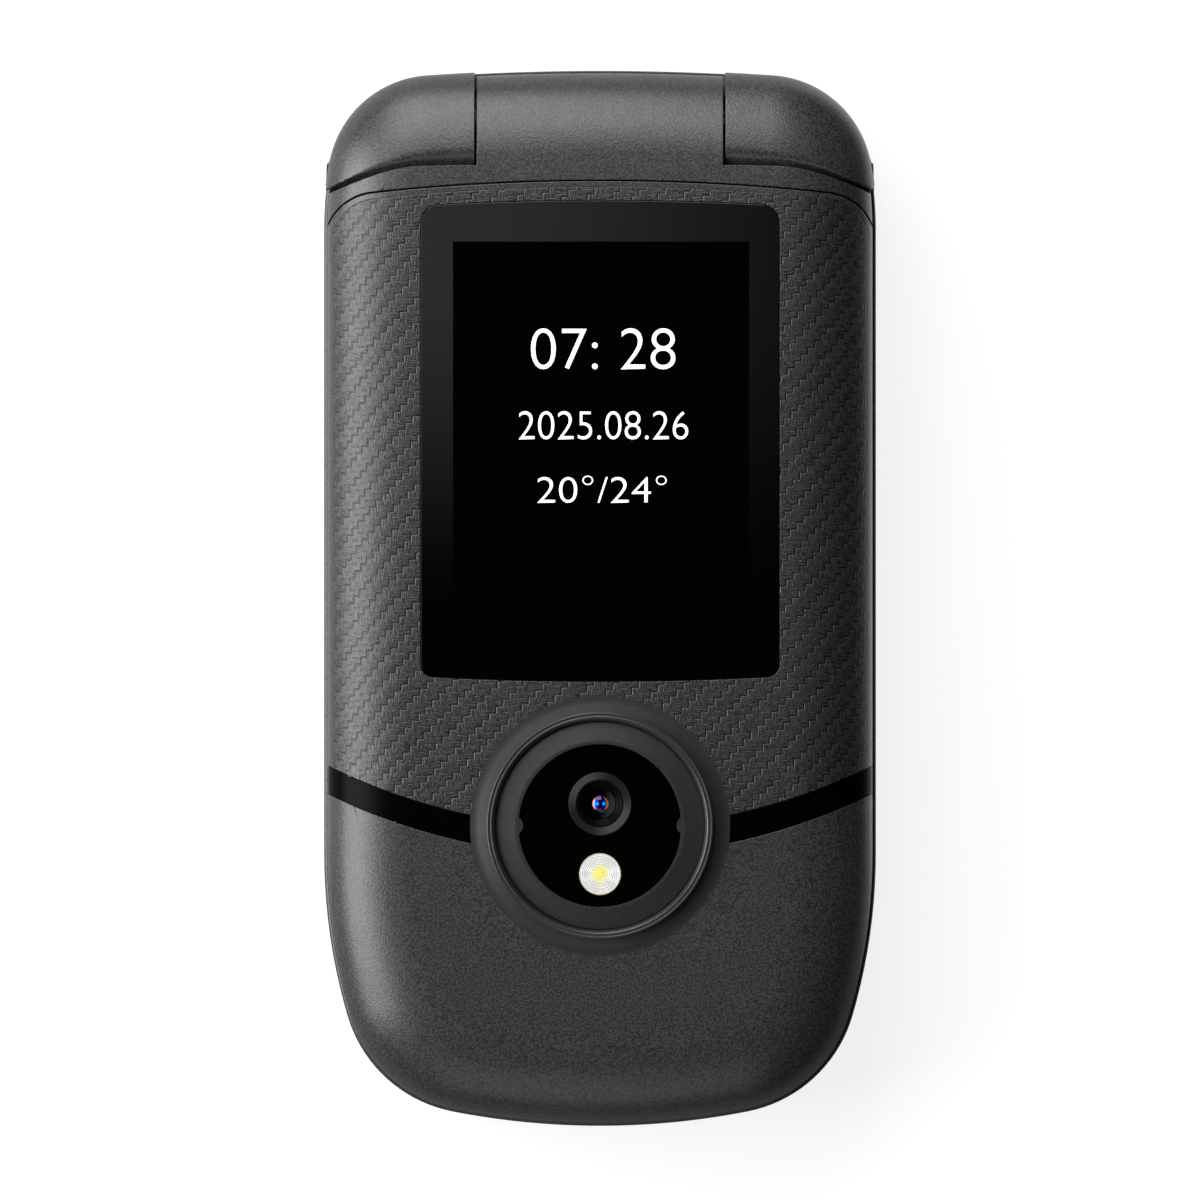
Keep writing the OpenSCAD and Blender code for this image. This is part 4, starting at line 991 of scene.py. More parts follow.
def rolledIn(x, y, z):
    # Draws a point in to the knuckle's roll about the axis, softly; the roll gives way behind the axis
    out, up = y - hingeY, z - hingeZ
    radius = math.hypot(out, up)
    if radius < 0.5:
        return x, y, z
    roll = rollAt(x) + knuckle["rollBack"] * max(0, out / radius) ** 2
    soft = knuckle["rollSoft"]
    near = max(0, soft - abs(radius - roll)) / soft
    drawn = min(radius, roll) - near * near * soft / 4
    return x, hingeY + out * drawn / radius, hingeZ + up * drawn / radius


def makeEar(side):
    # Sections across the knuckle, from its seam out to the corner: up its back, over, and down its roll
    low, seam = body["baseHeight"] - 1, barrelHalf + barrelGap / 2
    count, parts = 48, 20
    sections = []
    edge = [(x, y) for x, y in reversed(endArcs("hinge", 0, (24, 48, 96))) if x > seam]
    for x, back in [(seam, endArcs("hinge")[-1][1] - barrelDrop)] + edge:
        roll = rollAt(x)
        front = hingeY - roll - 0.4
        if back < front + knuckle["tip"]:
            break
        bunch = 1 + 0.3 * min(1, (back - front) / 8)
        places = [back - (back - front) * (i / count) ** bunch for i in range(1, count + 1)]
        over = [rolledIn(x, y, pebbleZ(edgeDepth(x, y))) for y in places]
        first = math.atan2(over[-1][2] - hingeZ, over[-1][1] - hingeY)
        last = math.pi + math.asin((hingeZ - low) / roll)
        angles = [first + (last - first) * i / parts for i in range(1, parts + 1)]
        under = [(x, hingeY + roll * math.cos(angle), hingeZ + roll * math.sin(angle)) for angle in angles]
        sections.append([(x, back, low), (x, back, hingeZ)] + over + under)
    return lofted("ear", [[(side * x, y, z) for x, y, z in section] for section in sections])


def makeUpperHousing():
    top = body["baseHeight"]
    shell = ring("baseRim", [(x, y, body["splitZ"]) for x, y in outline(0)])
    editAll(shell)
    radius = base["rimRound"]
    extrude(top - radius - body["splitZ"])
    roundOver(radius, radius, 6)
    objectMode()
    outwards(shell)
    for side in (1, -1):
        combine(shell, makeEar(side), "UNION")
    inside = prism("inside", outline(base["wall"]), body["splitZ"] - 1, base["deckTop"] - base["deckThick"])
    combine(inside, block("belowDeck", (-farOut, -farOut, -1), (farOut, deckY1, topZ)), "INTERSECT")
    combine(shell, inside)
    combine(shell, slab("deck", deckWidth, deckY1 - deckY0, base["deckCorner"], base["deckTop"], top + 1,
                        (0, (deckY0 + deckY1) / 2)))
    trough = aboutHinge("trough", barrelRadius + knuckle["swingGap"], -barrelDrop, barrelHalf)
    combine(shell, combine(trough, middleBlock(barrelGap / 2), "INTERSECT"))
    reach = barrelHalf + barrelGap / 2
    rear = block("rear", (-reach, hingeY, body["splitZ"] - 1), (reach, farOut, topZ))
    combine(shell, combine(rear, prism("inner", outline(lidStep), 0, topZ + 1)))
    for name in keys["names"]:
        combine(shell, prism("hole", keyOutline(name, base["keyGap"]), base["deckTop"] - 2, top + 1))
    sockets(shell)
    return softEdges(shell, body["edge"])


def backStrip(grow, high):
    return block("strip", (-farOut, base["backBottom"] - grow, -1), (farOut, base["backTop"] + grow, high))


def makeLowerHousing():
    line, wall = base["backLine"], base["backWall"]
    shell = foot("baseShell")
    combine(shell, backStrip(line, base["backHeight"] + line))
    floor = foot("floor", wall + 0.05)
    combine(floor, backStrip(1, base["backHeight"] + line + 0.01), "INTERSECT")
    combine(shell, floor, "UNION")
    sockets(shell)
    low, high = (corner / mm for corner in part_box("battery"))
    gap = base["batteryGap"]
    combine(shell, slab("batteryBay", high.x - low.x + 2 * gap, high.y - low.y + 2 * gap, base["bayCorner"],
                        -1, high.z + 0.1, (0, (low.y + high.y) / 2)))
    for middle, size in islands("base_screws"):
        top = middle.z - size.z + screw["headHeight"] + 0.02
        combine(shell, post("screwHole", screw["headRadius"] + 0.2, -1, top, (middle.x, middle.y), 40))
    low, high = (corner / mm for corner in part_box("loudspeaker"))
    for i in range(-2, 3):
        place = ((low.x + high.x) / 2 + base["slotPitch"] * i, (low.y + high.y) / 2)
        combine(shell, slab("slot", *base["slot"], -1, low.z, place))
    reach = base["notchReach"]
    radius = (reach ** 2 + base["notchDepth"] ** 2) / (2 * base["notchDepth"])
    ball = [(radius * math.sin(math.pi * i / 64), -radius * math.cos(math.pi * i / 64)) for i in range(65)]
    combine(shell, turned("notch", ball, (0, base["backBottom"] - line, base["notchDepth"] - radius)))
    return softEdges(shell, body["edge"])


def makeBatteryCover():
    panel = foot("backPanel")
    combine(panel, backStrip(0, base["backHeight"]), "INTERSECT")
    combine(panel, foot("backHollow", base["backWall"]))
    return softEdges(panel, body["edge"])


# Sockets in the chin, and the rocker's hole in the side
socket = {
    "jackBore": 2.3,
    "sleeve": 2.25,
    "sleevePitch": 3.2,
    "usbRoom": 0.1,
    "rockerGap": 0.25,
}


def sockets(shell):
    low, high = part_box("headphone_jack")
    middle = (low + high) / 2 / mm
    bore = post("jackHole", socket["jackBore"], 0, 20, (0, 0), 64)
    combine(shell, settle(bore, (middle.x, low.y / mm + 0.02, middle.z), (90, 0, 0)))
    low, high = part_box("usb_port")
    room = socket["usbRoom"]
    combine(shell, block("usbHole", (low.x / mm - room, low.y / mm - 5, low.z / mm - room),
                         (high.x / mm + room, high.y / mm, high.z / mm + room)))
    low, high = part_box("volume_rocker")
    gap = socket["rockerGap"]
    combine(shell, block("rockerHole", (-half - 1, low.y / mm + 0.5 - gap, low.z / mm),
                         (high.x / mm, high.y / mm - 0.5 + gap, high.z / mm)))


rocker = {
    "flush": 0.03,
    "corner": 1.05,
    "flange": 0.5,
    "flangeThick": 0.6,
    "flangeCorner": 0.4,
    "round": 0.25,
    "mark": (1.1, 0.22, 0.12),
    "markIn": 2.2,
}


def makeRocker():
    low, high = (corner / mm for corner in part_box("volume_rocker"))
    middle = (low + high) / 2
    length, height = high.y - low.y - 2 * rocker["flange"], high.z - low.z - 0.3
    face, seat = rocker["flush"] - half, high.x - rocker["flangeThick"]
    centre = (middle.y, low.z + 0.2 + height / 2)
    cap = lengthwise("rockerCap", roundedPoints(length, height, rocker["corner"], centre), face, seat + 0.01)
    edge = roundedPoints(high.y - low.y, high.z - low.z, rocker["flangeCorner"], (middle.y, middle.z))
    combine(cap, lengthwise("flange", edge, seat, high.x), "UNION")
    softEdges(cap, rocker["round"], segments=3, clean=0.01)
    # A minus at one end and a plus at the other, cut after the bevel, which is wider than they are
    long, wide, deep = rocker["mark"]
    for sign, across, tall in ((-1, long, wide), (1, long, wide), (1, wide, long)):
        spot = (middle.y + sign * (length / 2 - rocker["markIn"]), centre[1])
        combine(cap, lengthwise("bar", roundedPoints(across, tall, 0.09, spot), face - 1, face + deep))
    only(cap)
    bpy.ops.mesh.customdata_custom_splitnormals_clear()
    smooth(cap)
    weighted = cap.modifiers.new("shade", "WEIGHTED_NORMAL")
    weighted.keep_sharp = True
    bpy.ops.object.modifier_apply(modifier=weighted.name)
    return cap


quarterTurn = [math.radians(t) for t in range(15, 91, 15)]


def makeBumpers():
    # Four soft domes on the lid's rim
    made = []
    rise, inwards, down = tray["bumperRound"]
    for middle, size in islands("lid_bumpers"):
        low, high, radius = middle.z - size.z, middle.z + size.z, size.x
        profile = [(0, high), (radius, high), (radius, low + rise)]
        for angle in quarterTurn:
            profile.append((radius - inwards * math.sin(angle), low + rise - down * (1 - math.cos(angle))))
        profile.append((0, low))
        made.append(turned("bumpers", profile, (middle.x, middle.y, 0), steps=48))
    only(*made)
    bpy.ops.object.join()
    smooth(made[0], 40)
    return made[0]


def makeScrews(name, node):
    # Pan heads, seen from below, with a crossed recess
    made = []
    for middle, size in islands(node):
        low, top = middle.z - size.z, middle.z + size.z
        under = low + screw["headHeight"]
        radius, shank, edge = screw["headRadius"], screw["shankRadius"], screw["headRound"]
        profile = [(0, top), (shank, top), (shank, under), (radius, under), (radius, low + edge)]
        profile += [(radius - edge * math.sin(angle), low + edge * math.cos(angle)) for angle in quarterTurn]
        profile.append((0, low))
        head = turned(name, profile, (middle.x, middle.y, 0), steps=48)
        long, wide, deep = screw["cross"]
        cutter = slab("cross", long, wide, 0.1, low - 1, low + deep, (middle.x, middle.y))
        combine(cutter, slab("cross", wide, long, 0.1, low - 1, low + deep, (middle.x, middle.y)), "UNION")
        combine(head, cutter)
        made.append(head)
    only(*made)
    bpy.ops.object.join()
    smooth(made[0], 30)
    return made[0]


keys = {
    "names": ["key_1", "key_2", "key_3", "key_4", "key_5", "key_6", "key_7", "key_8", "key_9",
              "key_star", "key_0", "key_hash", "call_key", "end_key", "clear_key",
              "left_soft_key", "right_soft_key", "ok_key",
              "nav_up_key", "nav_down_key", "nav_left_key", "nav_right_key"],
    "turns": {"nav_right_key": 0, "nav_up_key": 90, "nav_left_key": 180, "nav_down_key": 270},
    "lip": 0.45,
    "lipThick": 0.5,
    "corner": 1.6,
    "wideCorner": 2.0,
    "navOuter": 9.6,
    "navInner": 5.5,
    "spoke": 1.2,
    "round": 0.22,
    "crownRadius": 30,
    "navCrown": 7.55,
    "navBend": 22,
    "dish": 40,
    "dishDepth": 0.25,
    "pip": (0.8, 0.12),
    "digitHeight": 3.1,
    "ink": 0.02,
}
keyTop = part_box("key_1")[1].z / mm
okLow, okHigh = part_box("ok_key")
navY = (okLow.y + okHigh.y) / 2 / mm


def navOutline(turn, grow):
    # A quarter of the ring of direction keys, with straight edges along its spokes
    outer, inner = keys["navOuter"] + grow, keys["navInner"] - grow
    side = keys["spoke"] / 2 + base["keyGap"] - grow
    outerReach = math.pi / 4 - math.asin(side / outer)
    innerReach = math.pi / 4 - math.asin(side / inner)
    points = arcPoints((0, 0), outer, -outerReach, outerReach, 28)
    points += arcPoints((0, 0), inner, innerReach, -innerReach, 20)
    return turnedPoints(points, turn, (0, navY))


def keyOutline(name, grow):
    if name in keys["turns"]:
        return navOutline(math.radians(keys["turns"][name]), grow)
    low, high = (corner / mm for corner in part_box(name))
    centre = (low + high) / 2
    width, length = (side - 2 * keys["lip"] + 2 * grow for side in (high.x - low.x, high.y - low.y))
    if name == "ok_key":
        return arcPoints(centre, width / 2, 0, fullTurn * 63 / 64, 63)
    corner = keys["wideCorner"] if "soft" in name or name in ("call_key", "end_key") else keys["corner"]
    return roundedPoints(width, length, corner + grow, centre)


def keySurface(name):
    # Height of a key's face at a place on it
    middle = (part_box(name)[0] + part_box(name)[1]) / 2 / mm
    if name in keys["turns"]:
        return lambda x, y: keyTop - (math.hypot(x, y - navY) - keys["navCrown"]) ** 2 / (2 * keys["navBend"])
    if name == "ok_key":
        return lambda x, y: keyTop - keys["dishDepth"] + (x * x + (y - navY) ** 2) / (2 * keys["dish"])
    return lambda x, y: keyTop - (y - middle.y) ** 2 / (2 * keys["crownRadius"])


def makeKey(name):
    low, high = (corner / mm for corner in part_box(name))
    middle = (low + high) / 2
    floor = base["deckTop"] - base["deckThick"] - 0.01
    face = keySurface(name)
    cap = prism(name + "Cap", keyOutline(name, 0), floor, keyTop)
    if name in keys["turns"] or name == "ok_key":
        reach = keys["navOuter"] + 1 if name in keys["turns"] else keys["navInner"]
        profile = [(0, floor - 1), (reach, floor - 1)]
        profile += [(reach * i / 32, face(reach * i / 32, navY)) for i in range(32, -1, -1)]
        combine(cap, turned("face", profile, (0, navY, 0), steps=96), "INTERSECT")
    else:
        reach = (high.y - low.y) / 2 + 1
        side = [(middle.y + reach * i / 24, face(0, middle.y + reach * i / 24)) for i in range(24, -25, -1)]
        section = [(middle.y - reach, floor - 1), (middle.y + reach, floor - 1)] + side
        combine(cap, lengthwise("face", section, low.x - 1, high.x + 1), "INTERSECT")
    combine(cap, prism("lip", keyOutline(name, keys["lip"]), low.z, low.z + keys["lipThick"]), "UNION")
    softEdges(cap, keys["round"], segments=4, clean=0.01, angle=40)
    if name == "key_5":
        radius, rise = keys["pip"]
        centreZ, under = keyTop + rise - radius, keyTop - 0.3
        ball = [(radius * math.cos(angle), centreZ + radius * math.sin(angle))
                for angle in [math.radians(t) for t in range(30, 91, 6)]]
        pip = turned("pip", [(0, under), (ball[0][0], under)] + ball, (middle.x, middle.y, 0), steps=32)
        smooth(pip, 40)
        only(cap, pip)
        bpy.ops.object.join()
    return cap


# Legends: each is printed on its key, as numerals or as drawn outlines
legends = {
    "digits": {"key_2": "2", "key_3": "3", "key_4": "4", "key_5": "5", "key_6": "6", "key_7": "7",
               "key_8": "8", "key_9": "9", "key_0": "0", "key_star": "*", "key_hash": "#"},
    "symbolHeight": {"*": 2.0, "#": 2.7},
    "weight": -0.008,
    "aside": 3.2,
    "one": [(-0.1, -1.55), (0.22, -1.55), (0.22, 1.55), (-0.08, 1.55), (-0.78, 1.02), (-0.6, 0.76),
            (-0.1, 1.12)],
    "tip": [(0.75, 0), (-0.45, 0.85), (-0.45, -0.85)],
    "arrow": [(-1.9, 0), (-0.8, 0.9), (-0.8, 0.25), (1.8, 0.25), (1.8, -0.25), (-0.8, -0.25), (-0.8, -0.9)],
    # arcs of the receiver: radius, first and last angle, and number of steps
    "handset": [(1.75, 18, 162, 20), (0.75, 162, 136, 4), (1.22, 126, 54, 12), (0.75, 44, 18, 4)],
    "dot": 0.85,
    "dash": (3.4, 0.5, 0.24),
}


def laid(obj, surface, lift, thickness):
    # Lays a flat outline on a surface and gives it the thickness of ink, upwards or downwards
    editAll(obj)
    bpy.ops.mesh.remove_doubles(threshold=0.001 * mm)
    bpy.ops.mesh.quads_convert_to_tris(ngon_method="BEAUTY")
    bpy.ops.mesh.subdivide(number_cuts=3)
    objectMode()
    for vertex in obj.data.vertices:
        x, y = vertex.co.x / mm, vertex.co.y / mm
        vertex.co.z = (surface(x, y) + lift) * mm
    editAll(obj)
    extrude(thickness)
    bpy.ops.mesh.select_all(action="SELECT")
    bpy.ops.mesh.normals_make_consistent(inside=False)
    objectMode()
    return obj


def lettering(name, text, centre, size, upDown=1, weight=0.0):
    # Flat numerals, fitted to a width and a height; a width of None keeps their shape
    bpy.ops.object.select_all(action="DESELECT")
    bpy.ops.object.text_add(location=(0, 0, 0))
    obj = bpy.context.object
    obj.data.body = text
    obj.data.resolution_u = 5
    obj.data.offset = weight
    only(obj)
    bpy.ops.object.convert(target="MESH")
    obj = bpy.context.object
    obj.name = obj.data.name = name
    xs, ys = [v.co.x for v in obj.data.vertices], [v.co.y for v in obj.data.vertices]
    scaleY = size[1] / (max(ys) - min(ys))
    scaleX = size[0] / (max(xs) - min(xs)) if size[0] else scaleY
    for vertex in obj.data.vertices:
        x = (vertex.co.x - (max(xs) + min(xs)) / 2) * scaleX + centre[0]
        y = (vertex.co.y - (max(ys) + min(ys)) / 2) * scaleY * upDown + centre[1]
        vertex.co = Vector((x, y, 0)) * mm
    return obj


def drawn(name, outlines):
    # Flat faces from a list of outlines, joined
    made = [ring(name, [(x, y, 0) for x, y in points]) for points in outlines]
    only(*made)
    if len(made) > 1:
        bpy.ops.object.join()
    return made[0]


def handset(centre, turn):
    # A receiver seen from the side, its arch upwards before it is turned
    points = []
    for radius, start, stop, count in legends["handset"]:
        points += arcPoints((0, 0), radius, math.radians(start), math.radians(stop), count)
    return turnedPoints([(x, y - 1) for x, y in points], math.radians(turn), centre)


def bar(centre, width, length, radius):
    return roundedPoints(width, length, radius, centre, parts=4)


def keyLegend(name):
    low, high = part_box(name)
    x, y = ((low + high) / 2 / mm).xy
    title = "legend_" + name.replace("_key", "").replace("key_", "")
    if name == "key_1":
        flat = drawn(title, [[(x + px, y + py) for px, py in legends["one"]]])
    elif name in legends["digits"]:
        text = legends["digits"][name]
        height = legends["symbolHeight"].get(text, keys["digitHeight"])
        aside = legends["aside"] if text == "5" else 0
        flat = lettering(title, text, (x - aside, y), (None, height), weight=legends["weight"])
    elif name in keys["turns"]:
        flat = drawn(title, [turnedPoints([(keys["navCrown"] + px, py) for px, py in legends["tip"]],
                                          math.radians(keys["turns"][name]), (0, navY))])
    elif name == "call_key":
        flat = drawn(title, [handset((x, y), 130)])
    elif name == "end_key":
        flat = drawn(title, [handset((x, y), 0)])
    elif name == "clear_key":
        flat = drawn(title, [[(x + px, y + py) for px, py in legends["arrow"]]])
    elif name == "ok_key":
        flat = drawn(title, [arcPoints((x, y), legends["dot"], 0, fullTurn * 31 / 32, 31)])
    else:
        flat = drawn(title, [bar((x, y), *legends["dash"])])
    return laid(flat, keySurface(name), -keys["ink"] / 2, keys["ink"] * 1.5)


# Inner screen: glass with a lit field, and what it shows, which reads right when the phone is open
screen = {
    "glassCorner": 2.45,
    "lit": (19.9, 30.2),
    "corner": 1.0,
    "time": ("07:28", (0, -22.5), (20, 6.4)),
    "date": ("2025.08.26", (0, -14.2), (18.5, 2.5)),
    "arrow": [(-1.4, 0), (-0.5, -0.8), (-0.5, -0.15), (1.4, -0.15), (1.4, 0.15), (-0.5, 0.15), (-0.5, 0.8)],
    # bars of the battery's outline: place from the right and from the top, width and length
    "battery": [(3.6, 1.45, 3.6, 0.22), (3.6, 3.05, 3.6, 0.22), (5.3, 2.25, 0.22, 1.8),
                (1.9, 2.25, 0.22, 1.8), (1.55, 2.25, 0.3, 0.8)],
    # arcs in the sky: centre, radius and width
    "arcs": ((-26, 24, 30, 9), (30, 40, 34, 6)),
    "tint": ((0.004, 0.02, 0.07), (0.01, 0.17, 0.26), (0.22, 0.62, 0.66)),
    "glow": 1.0,
}
innerMiddle = (innerLow.y + innerHigh.y) / 2 / mm
innerFace = innerLow.z / mm


def makeInnerWindow():
    width, length = (innerHigh.x - innerLow.x) / mm, (innerHigh.y - innerLow.y) / mm
    corner = screen["glassCorner"]
    glass = slab("innerGlass", width, length, corner, innerFace, innerHigh.z / mm, (0, innerMiddle))
    return softEdges(glass, 0.12, segments=3, clean=0.01)


def screenPicture():
    # Clock, date, battery, signal bars and the marks over the soft keys; its top is towards the chin
    top, bottom = innerMiddle - screen["lit"][1], innerMiddle + screen["lit"][1]
    side = screen["lit"][0]
    marks = [bar((-side + 2.2 + 1.0 * i, top + 2.6 - 0.25 * i), 0.6, 0.7 + 0.5 * i, 0.1) for i in range(4)]
    marks += [bar((side - right, top + down), width, length, 0.1)
              for right, down, width, length in screen["battery"]]
    marks += [bar((side - 4.6 + 0.95 * i, top + 2.25), 0.7, 1.05, 0.08) for i in range(3)]
    marks += [bar((-side + 3.4, bottom - 3.6 + 0.75 * i), 2.6, 0.3, 0.14) for i in range(3)]
    x, y = side - 3.4, bottom - 2.85
    marks.append([(x + px, y + py) for px, py in screen["arrow"]])
    flat = [drawn("screen_marks", marks)]
    for key in ("time", "date"):
        text, centre, size = screen[key]
        flat.append(lettering("screen_inner_" + key, text, centre, size, upDown=-1, weight=pane["weight"]))
    return [laid(obj, lambda x, y: innerFace, 0.01, -0.02) for obj in flat]


# Colours are linear, as nodes take them
grey = {
    "shell": (0.033, 0.033, 0.034),
    "shellRough": 0.38,
    "shellGloss": 0.8,
    "grain": 0.21,
    "grainDepth": 0.02,
    "grainRange": (0.36, 0.64),
    "speckle": 0.62,
    "ring": (0.027, 0.027, 0.028),
    "trim": (0.022, 0.022, 0.022),
    "key": (0.026, 0.026, 0.028),
    "black": (0.0005, 0.0005, 0.0006),
}


def hypot(x, y):
    return (x * x + y * y).root()


def offMiddle(value, pitch):
    # 0 in the middle of every pitch, and 0.5 at its ends
    return abs((value / pitch).fraction() - 0.5)


def tinted(colour, share):
    return tuple(min(1, c * share) for c in colour)


def matt(name, colour, roughness, grain=grey["grain"], depth=grey["grainDepth"], mottle=0.12, **constants):
    # Moulded plastic with a fine spark-eroded grain
    finish = Finish(name, colour, roughness, **constants)
    fine = finish.noise(grain, 1.0)
    broad = finish.noise(5.0, 2.0)
    share = fine.step(*grey["grainRange"]) * 0.8 + broad * 0.2
    finish.put("Base Color", finish.mix(share, tinted(colour, 1 - mottle), tinted(colour, 1 + mottle)))
    finish.uneven(roughness, 1.2, 0.08)
    finish.bump(fine, depth)
    return finish.material


weave = {
    "step": 0.682,
    "chain": (0.518, 1.803),
    "chainStart": 0.2,
    "upright": 1.17,
    "phase": (-0.60, 0.10),
    "grooveIn": (0.01, 0.09),
    "grooveOut": (0.06, 0.15),
    "grooveDepth": 0.025,
    "foot": 0.45,
    "footLine": (0.03, 0.1),
    "edge": (0.05, 0.23),
    "thread": 0.12,
    "threadLength": 0.8,
    "threadDepth": 0.013,
    "lip": 0.58,
    "lipLine": 0.07,
    "sideStart": 17.8,
    "wrapPower": 1.5,
    # shares of twice the shell's grey; upright is a painted sheen on the upright blocks, edge a painted
    # highlight inside their edges, and groove how far painted shade darkens the grooves
    "tone": {"plain": 0.30, "upright": 0.08, "thread": 0.36, "edge": 0.12, "groove": 0.96},
}


def coverBorder(x, y):
    # Distance in millimetres from a place to the front cover's edge in plan
    reach, arch, corner, side, sideY = outlineEnds["cover"]
    middle = crossing((0, reach - arch), arch - corner, (half - side, sideY), side - corner)
    away = abs(x)
    up = y - (reach - arch)
    archIn = arch - hypot(x, up)
    right, high = (away - middle.x).most(0), (y - middle.y).most(0)
    cornerIn = corner - hypot(right, high)
    isCorner = (y > middle.y) * (away > middle.x)
    return cornerIn * isCorner + archIn.least((half - lidStep) - away) * (1 - isCorner)


def wovenFinish():
    finish = Finish("wovenShell", grey["shell"], grey["shellRough"], specular=grey["shellGloss"])
    x, y, z = finish.place()
    away = abs(x)
    power, start = weave["wrapPower"], weave["sideStart"]
    # The pattern runs on down the rounded sides by their length, so that it isn't drawn out there
    out = (away - start).most(0) ** power + (z * -1 + domeZ).most(0) ** power
    across = ((x > 0) * 2 - 1) * (away.least(start) + out ** (1 / power))
    down = y * -1
    # Stairs of upright blocks climb to the right, and each chain of them starts lower than the last
    step, (chainX, chainY) = weave["step"], weave["chain"]
    across, down = across + weave["phase"][0], down + weave["phase"][1]
    chain = ((across + down + weave["chainStart"]) / (chainX + chainY)).floor()
    column = (across - chain * chainX) / step
    into = column.fraction()
    depth = down - chain * chainY + column.floor() * step
    inside = depth > 0
    upright = inside * (depth < weave["upright"])
    nearIn = depth.least(into * step + (depth > step) * 9)
    nearOut = (depth * -1).least((1 - into) * step)
    groove = nearIn.step(*weave["grooveIn"]) * inside + nearOut.step(*weave["grooveOut"]) * (1 - inside)
    footLine = 1 - abs(depth - weave["upright"]).step(*weave["footLine"])
    groove = groove * (1 - footLine * weave["foot"])
    # A painted highlight just inside the upright blocks' edges
    low, top = weave["edge"]
    edge = nearIn.step(low, (low + top) / 2) * (1 - nearIn.step((low + top) / 2, top)) * upright
    fine, length = weave["thread"], weave["threadLength"]
    standing = finish.noise(1, 1.0, finish.point(across * (1 / fine), down * (1 / length), 0))
    lying = finish.noise(1, 1.0, finish.point(across * (1 / length), down * (1 / fine), 3))
    thread = (standing * upright + lying * (1 - upright)).step(*grey["grainRange"])
    # It keeps inside a smooth lip along the cover's edge, and ends at the stripe
    border = coverBorder(x, y)
    fall = y - (stripeY + cover["stripeRadius"])
    patterned = border.step(weave["lip"], weave["lip"] + 0.02) * (hypot(x, fall) < cover["stripeRadius"])
    line = 1 - abs(border - weave["lip"]).step(0, weave["lipLine"])
    grain = finish.noise(grey["grain"], 1.0)
    relief = (groove * weave["grooveDepth"] + thread * weave["threadDepth"]) * patterned
    relief = relief + (1 - patterned) * (grain * grey["grainDepth"] + weave["grooveDepth"]) - line * 0.02
    # The colour carries painted light: a sheen on the upright blocks, a highlight inside their edges and
    # shade in the grooves
    part = weave["tone"]
    tone = part["plain"] + upright * part["upright"] + (thread - 0.5) * part["thread"] + edge * part["edge"]
    tone = tone * (groove * part["groove"] + (1 - part["groove"]))
    plain = 0.5 + (grain.step(*grey["grainRange"]) - 0.5) * grey["speckle"] * 0.8
    finish.put("Base Color", finish.mix((tone * patterned + plain * (1 - patterned)) * (1 - line * 0.6),
                                        (0, 0, 0), tinted(grey["shell"], 2)))
    finish.uneven(grey["shellRough"], 1.2, 0.08)
    finish.bump(relief, 1.0)
    return finish.material


pane = {
    "lit": (-14.6, 14.8, -3.8, 35.4),
    # grey of the print round the lit area, which shows only under the painted reflection
    "border": 0.021,
    # the painted reflection on the print: where it rises upwards, where it fades to the right, and how far it
    # fades there
    "reflectionUp": (-2, 34),
    "reflectionRight": (-16, 26),
    "reflectionShare": 0.8,
    "sunk": 0.03,
    "ink": 0.02,
    "weight": -0.012,
    "time": ("07: 28", (0.32, 24.75), (14.35, 4.07)),
    "date": ("2025.08.26", (0.35, 17.15), (16.84, 2.8)),
    "third": ("20°/24°", (0.2, 10.8), (12.85, 2.7)),
}


def within(value, low, high):
    return (value > low) * (value < high)


def windowFinish():
    # Black glass; the print round the lit area is grey only where a painted reflection lies on it, lightest
    # towards the upper left
    finish = Finish("windowGlass", grey["black"], 0.03)
    x, y = finish.place()[:2]
    left, right, low, high = pane["lit"]
    outside = 1 - within(x, left, right) * within(y, low, high)
    # Painted reflection, lighter towards the top and the left
    reflectionFade = y.step(*pane["reflectionUp"]) * (1 - x.step(*pane["reflectionRight"]) * pane["reflectionShare"])
    finish.put("Base Color", finish.mix(outside * reflectionFade, grey["black"], (pane["border"],) * 3))
    finish.put("Roughness", finish.noise(9.0, 3.0).step(0.55, 0.8) * 0.03 + 0.025)
    return finish.material


def screenFinish():
    # Black glass over a lit field with a soft evening sky and two pale arcs
    finish = Finish("screenGlass", grey["black"], 0.04, emission=screen["glow"])
    x, y = finish.place()[:2]
    side, reach = screen["lit"]
    corner = screen["corner"]
    outX, outY = (abs(x) - (side - corner)).most(0), (abs(y - innerMiddle) - (reach - corner)).most(0)
    lit = hypot(outX, outY) < corner
    dark, middle, pale = screen["tint"]
    sky = finish.mix(y.step(innerMiddle - reach, innerMiddle + reach), dark, middle)
    swell = finish.noise(30, 1.0)
    for centreX, centreY, radius, width in screen["arcs"]:
        far = hypot(x - centreX, y - centreY)
        band = (1 - abs(far - radius + swell * 4).step(0, width)) * 0.5
        sky = finish.mix(band, sky, pale)
    finish.put("Emission Color", finish.mix(lit, (0, 0, 0), sky))
    finish.put("Roughness", finish.noise(9.0, 3.0).step(0.55, 0.8) * 0.04 + 0.03)
    return finish.material


def glossFinish(name, colour, roughness=0.03, **constants):
    # Polished black with the faint unevenness of handling
    finish = Finish(name, colour, roughness, **constants)
    film = finish.noise(6.0, 3.0)
    finish.put("Roughness", film.step(0.5, 0.8) * 0.05 + roughness)
    finish.put("Base Color", finish.mix(film, tinted(colour, 0.85), tinted(colour, 1.15)))
    return finish.material


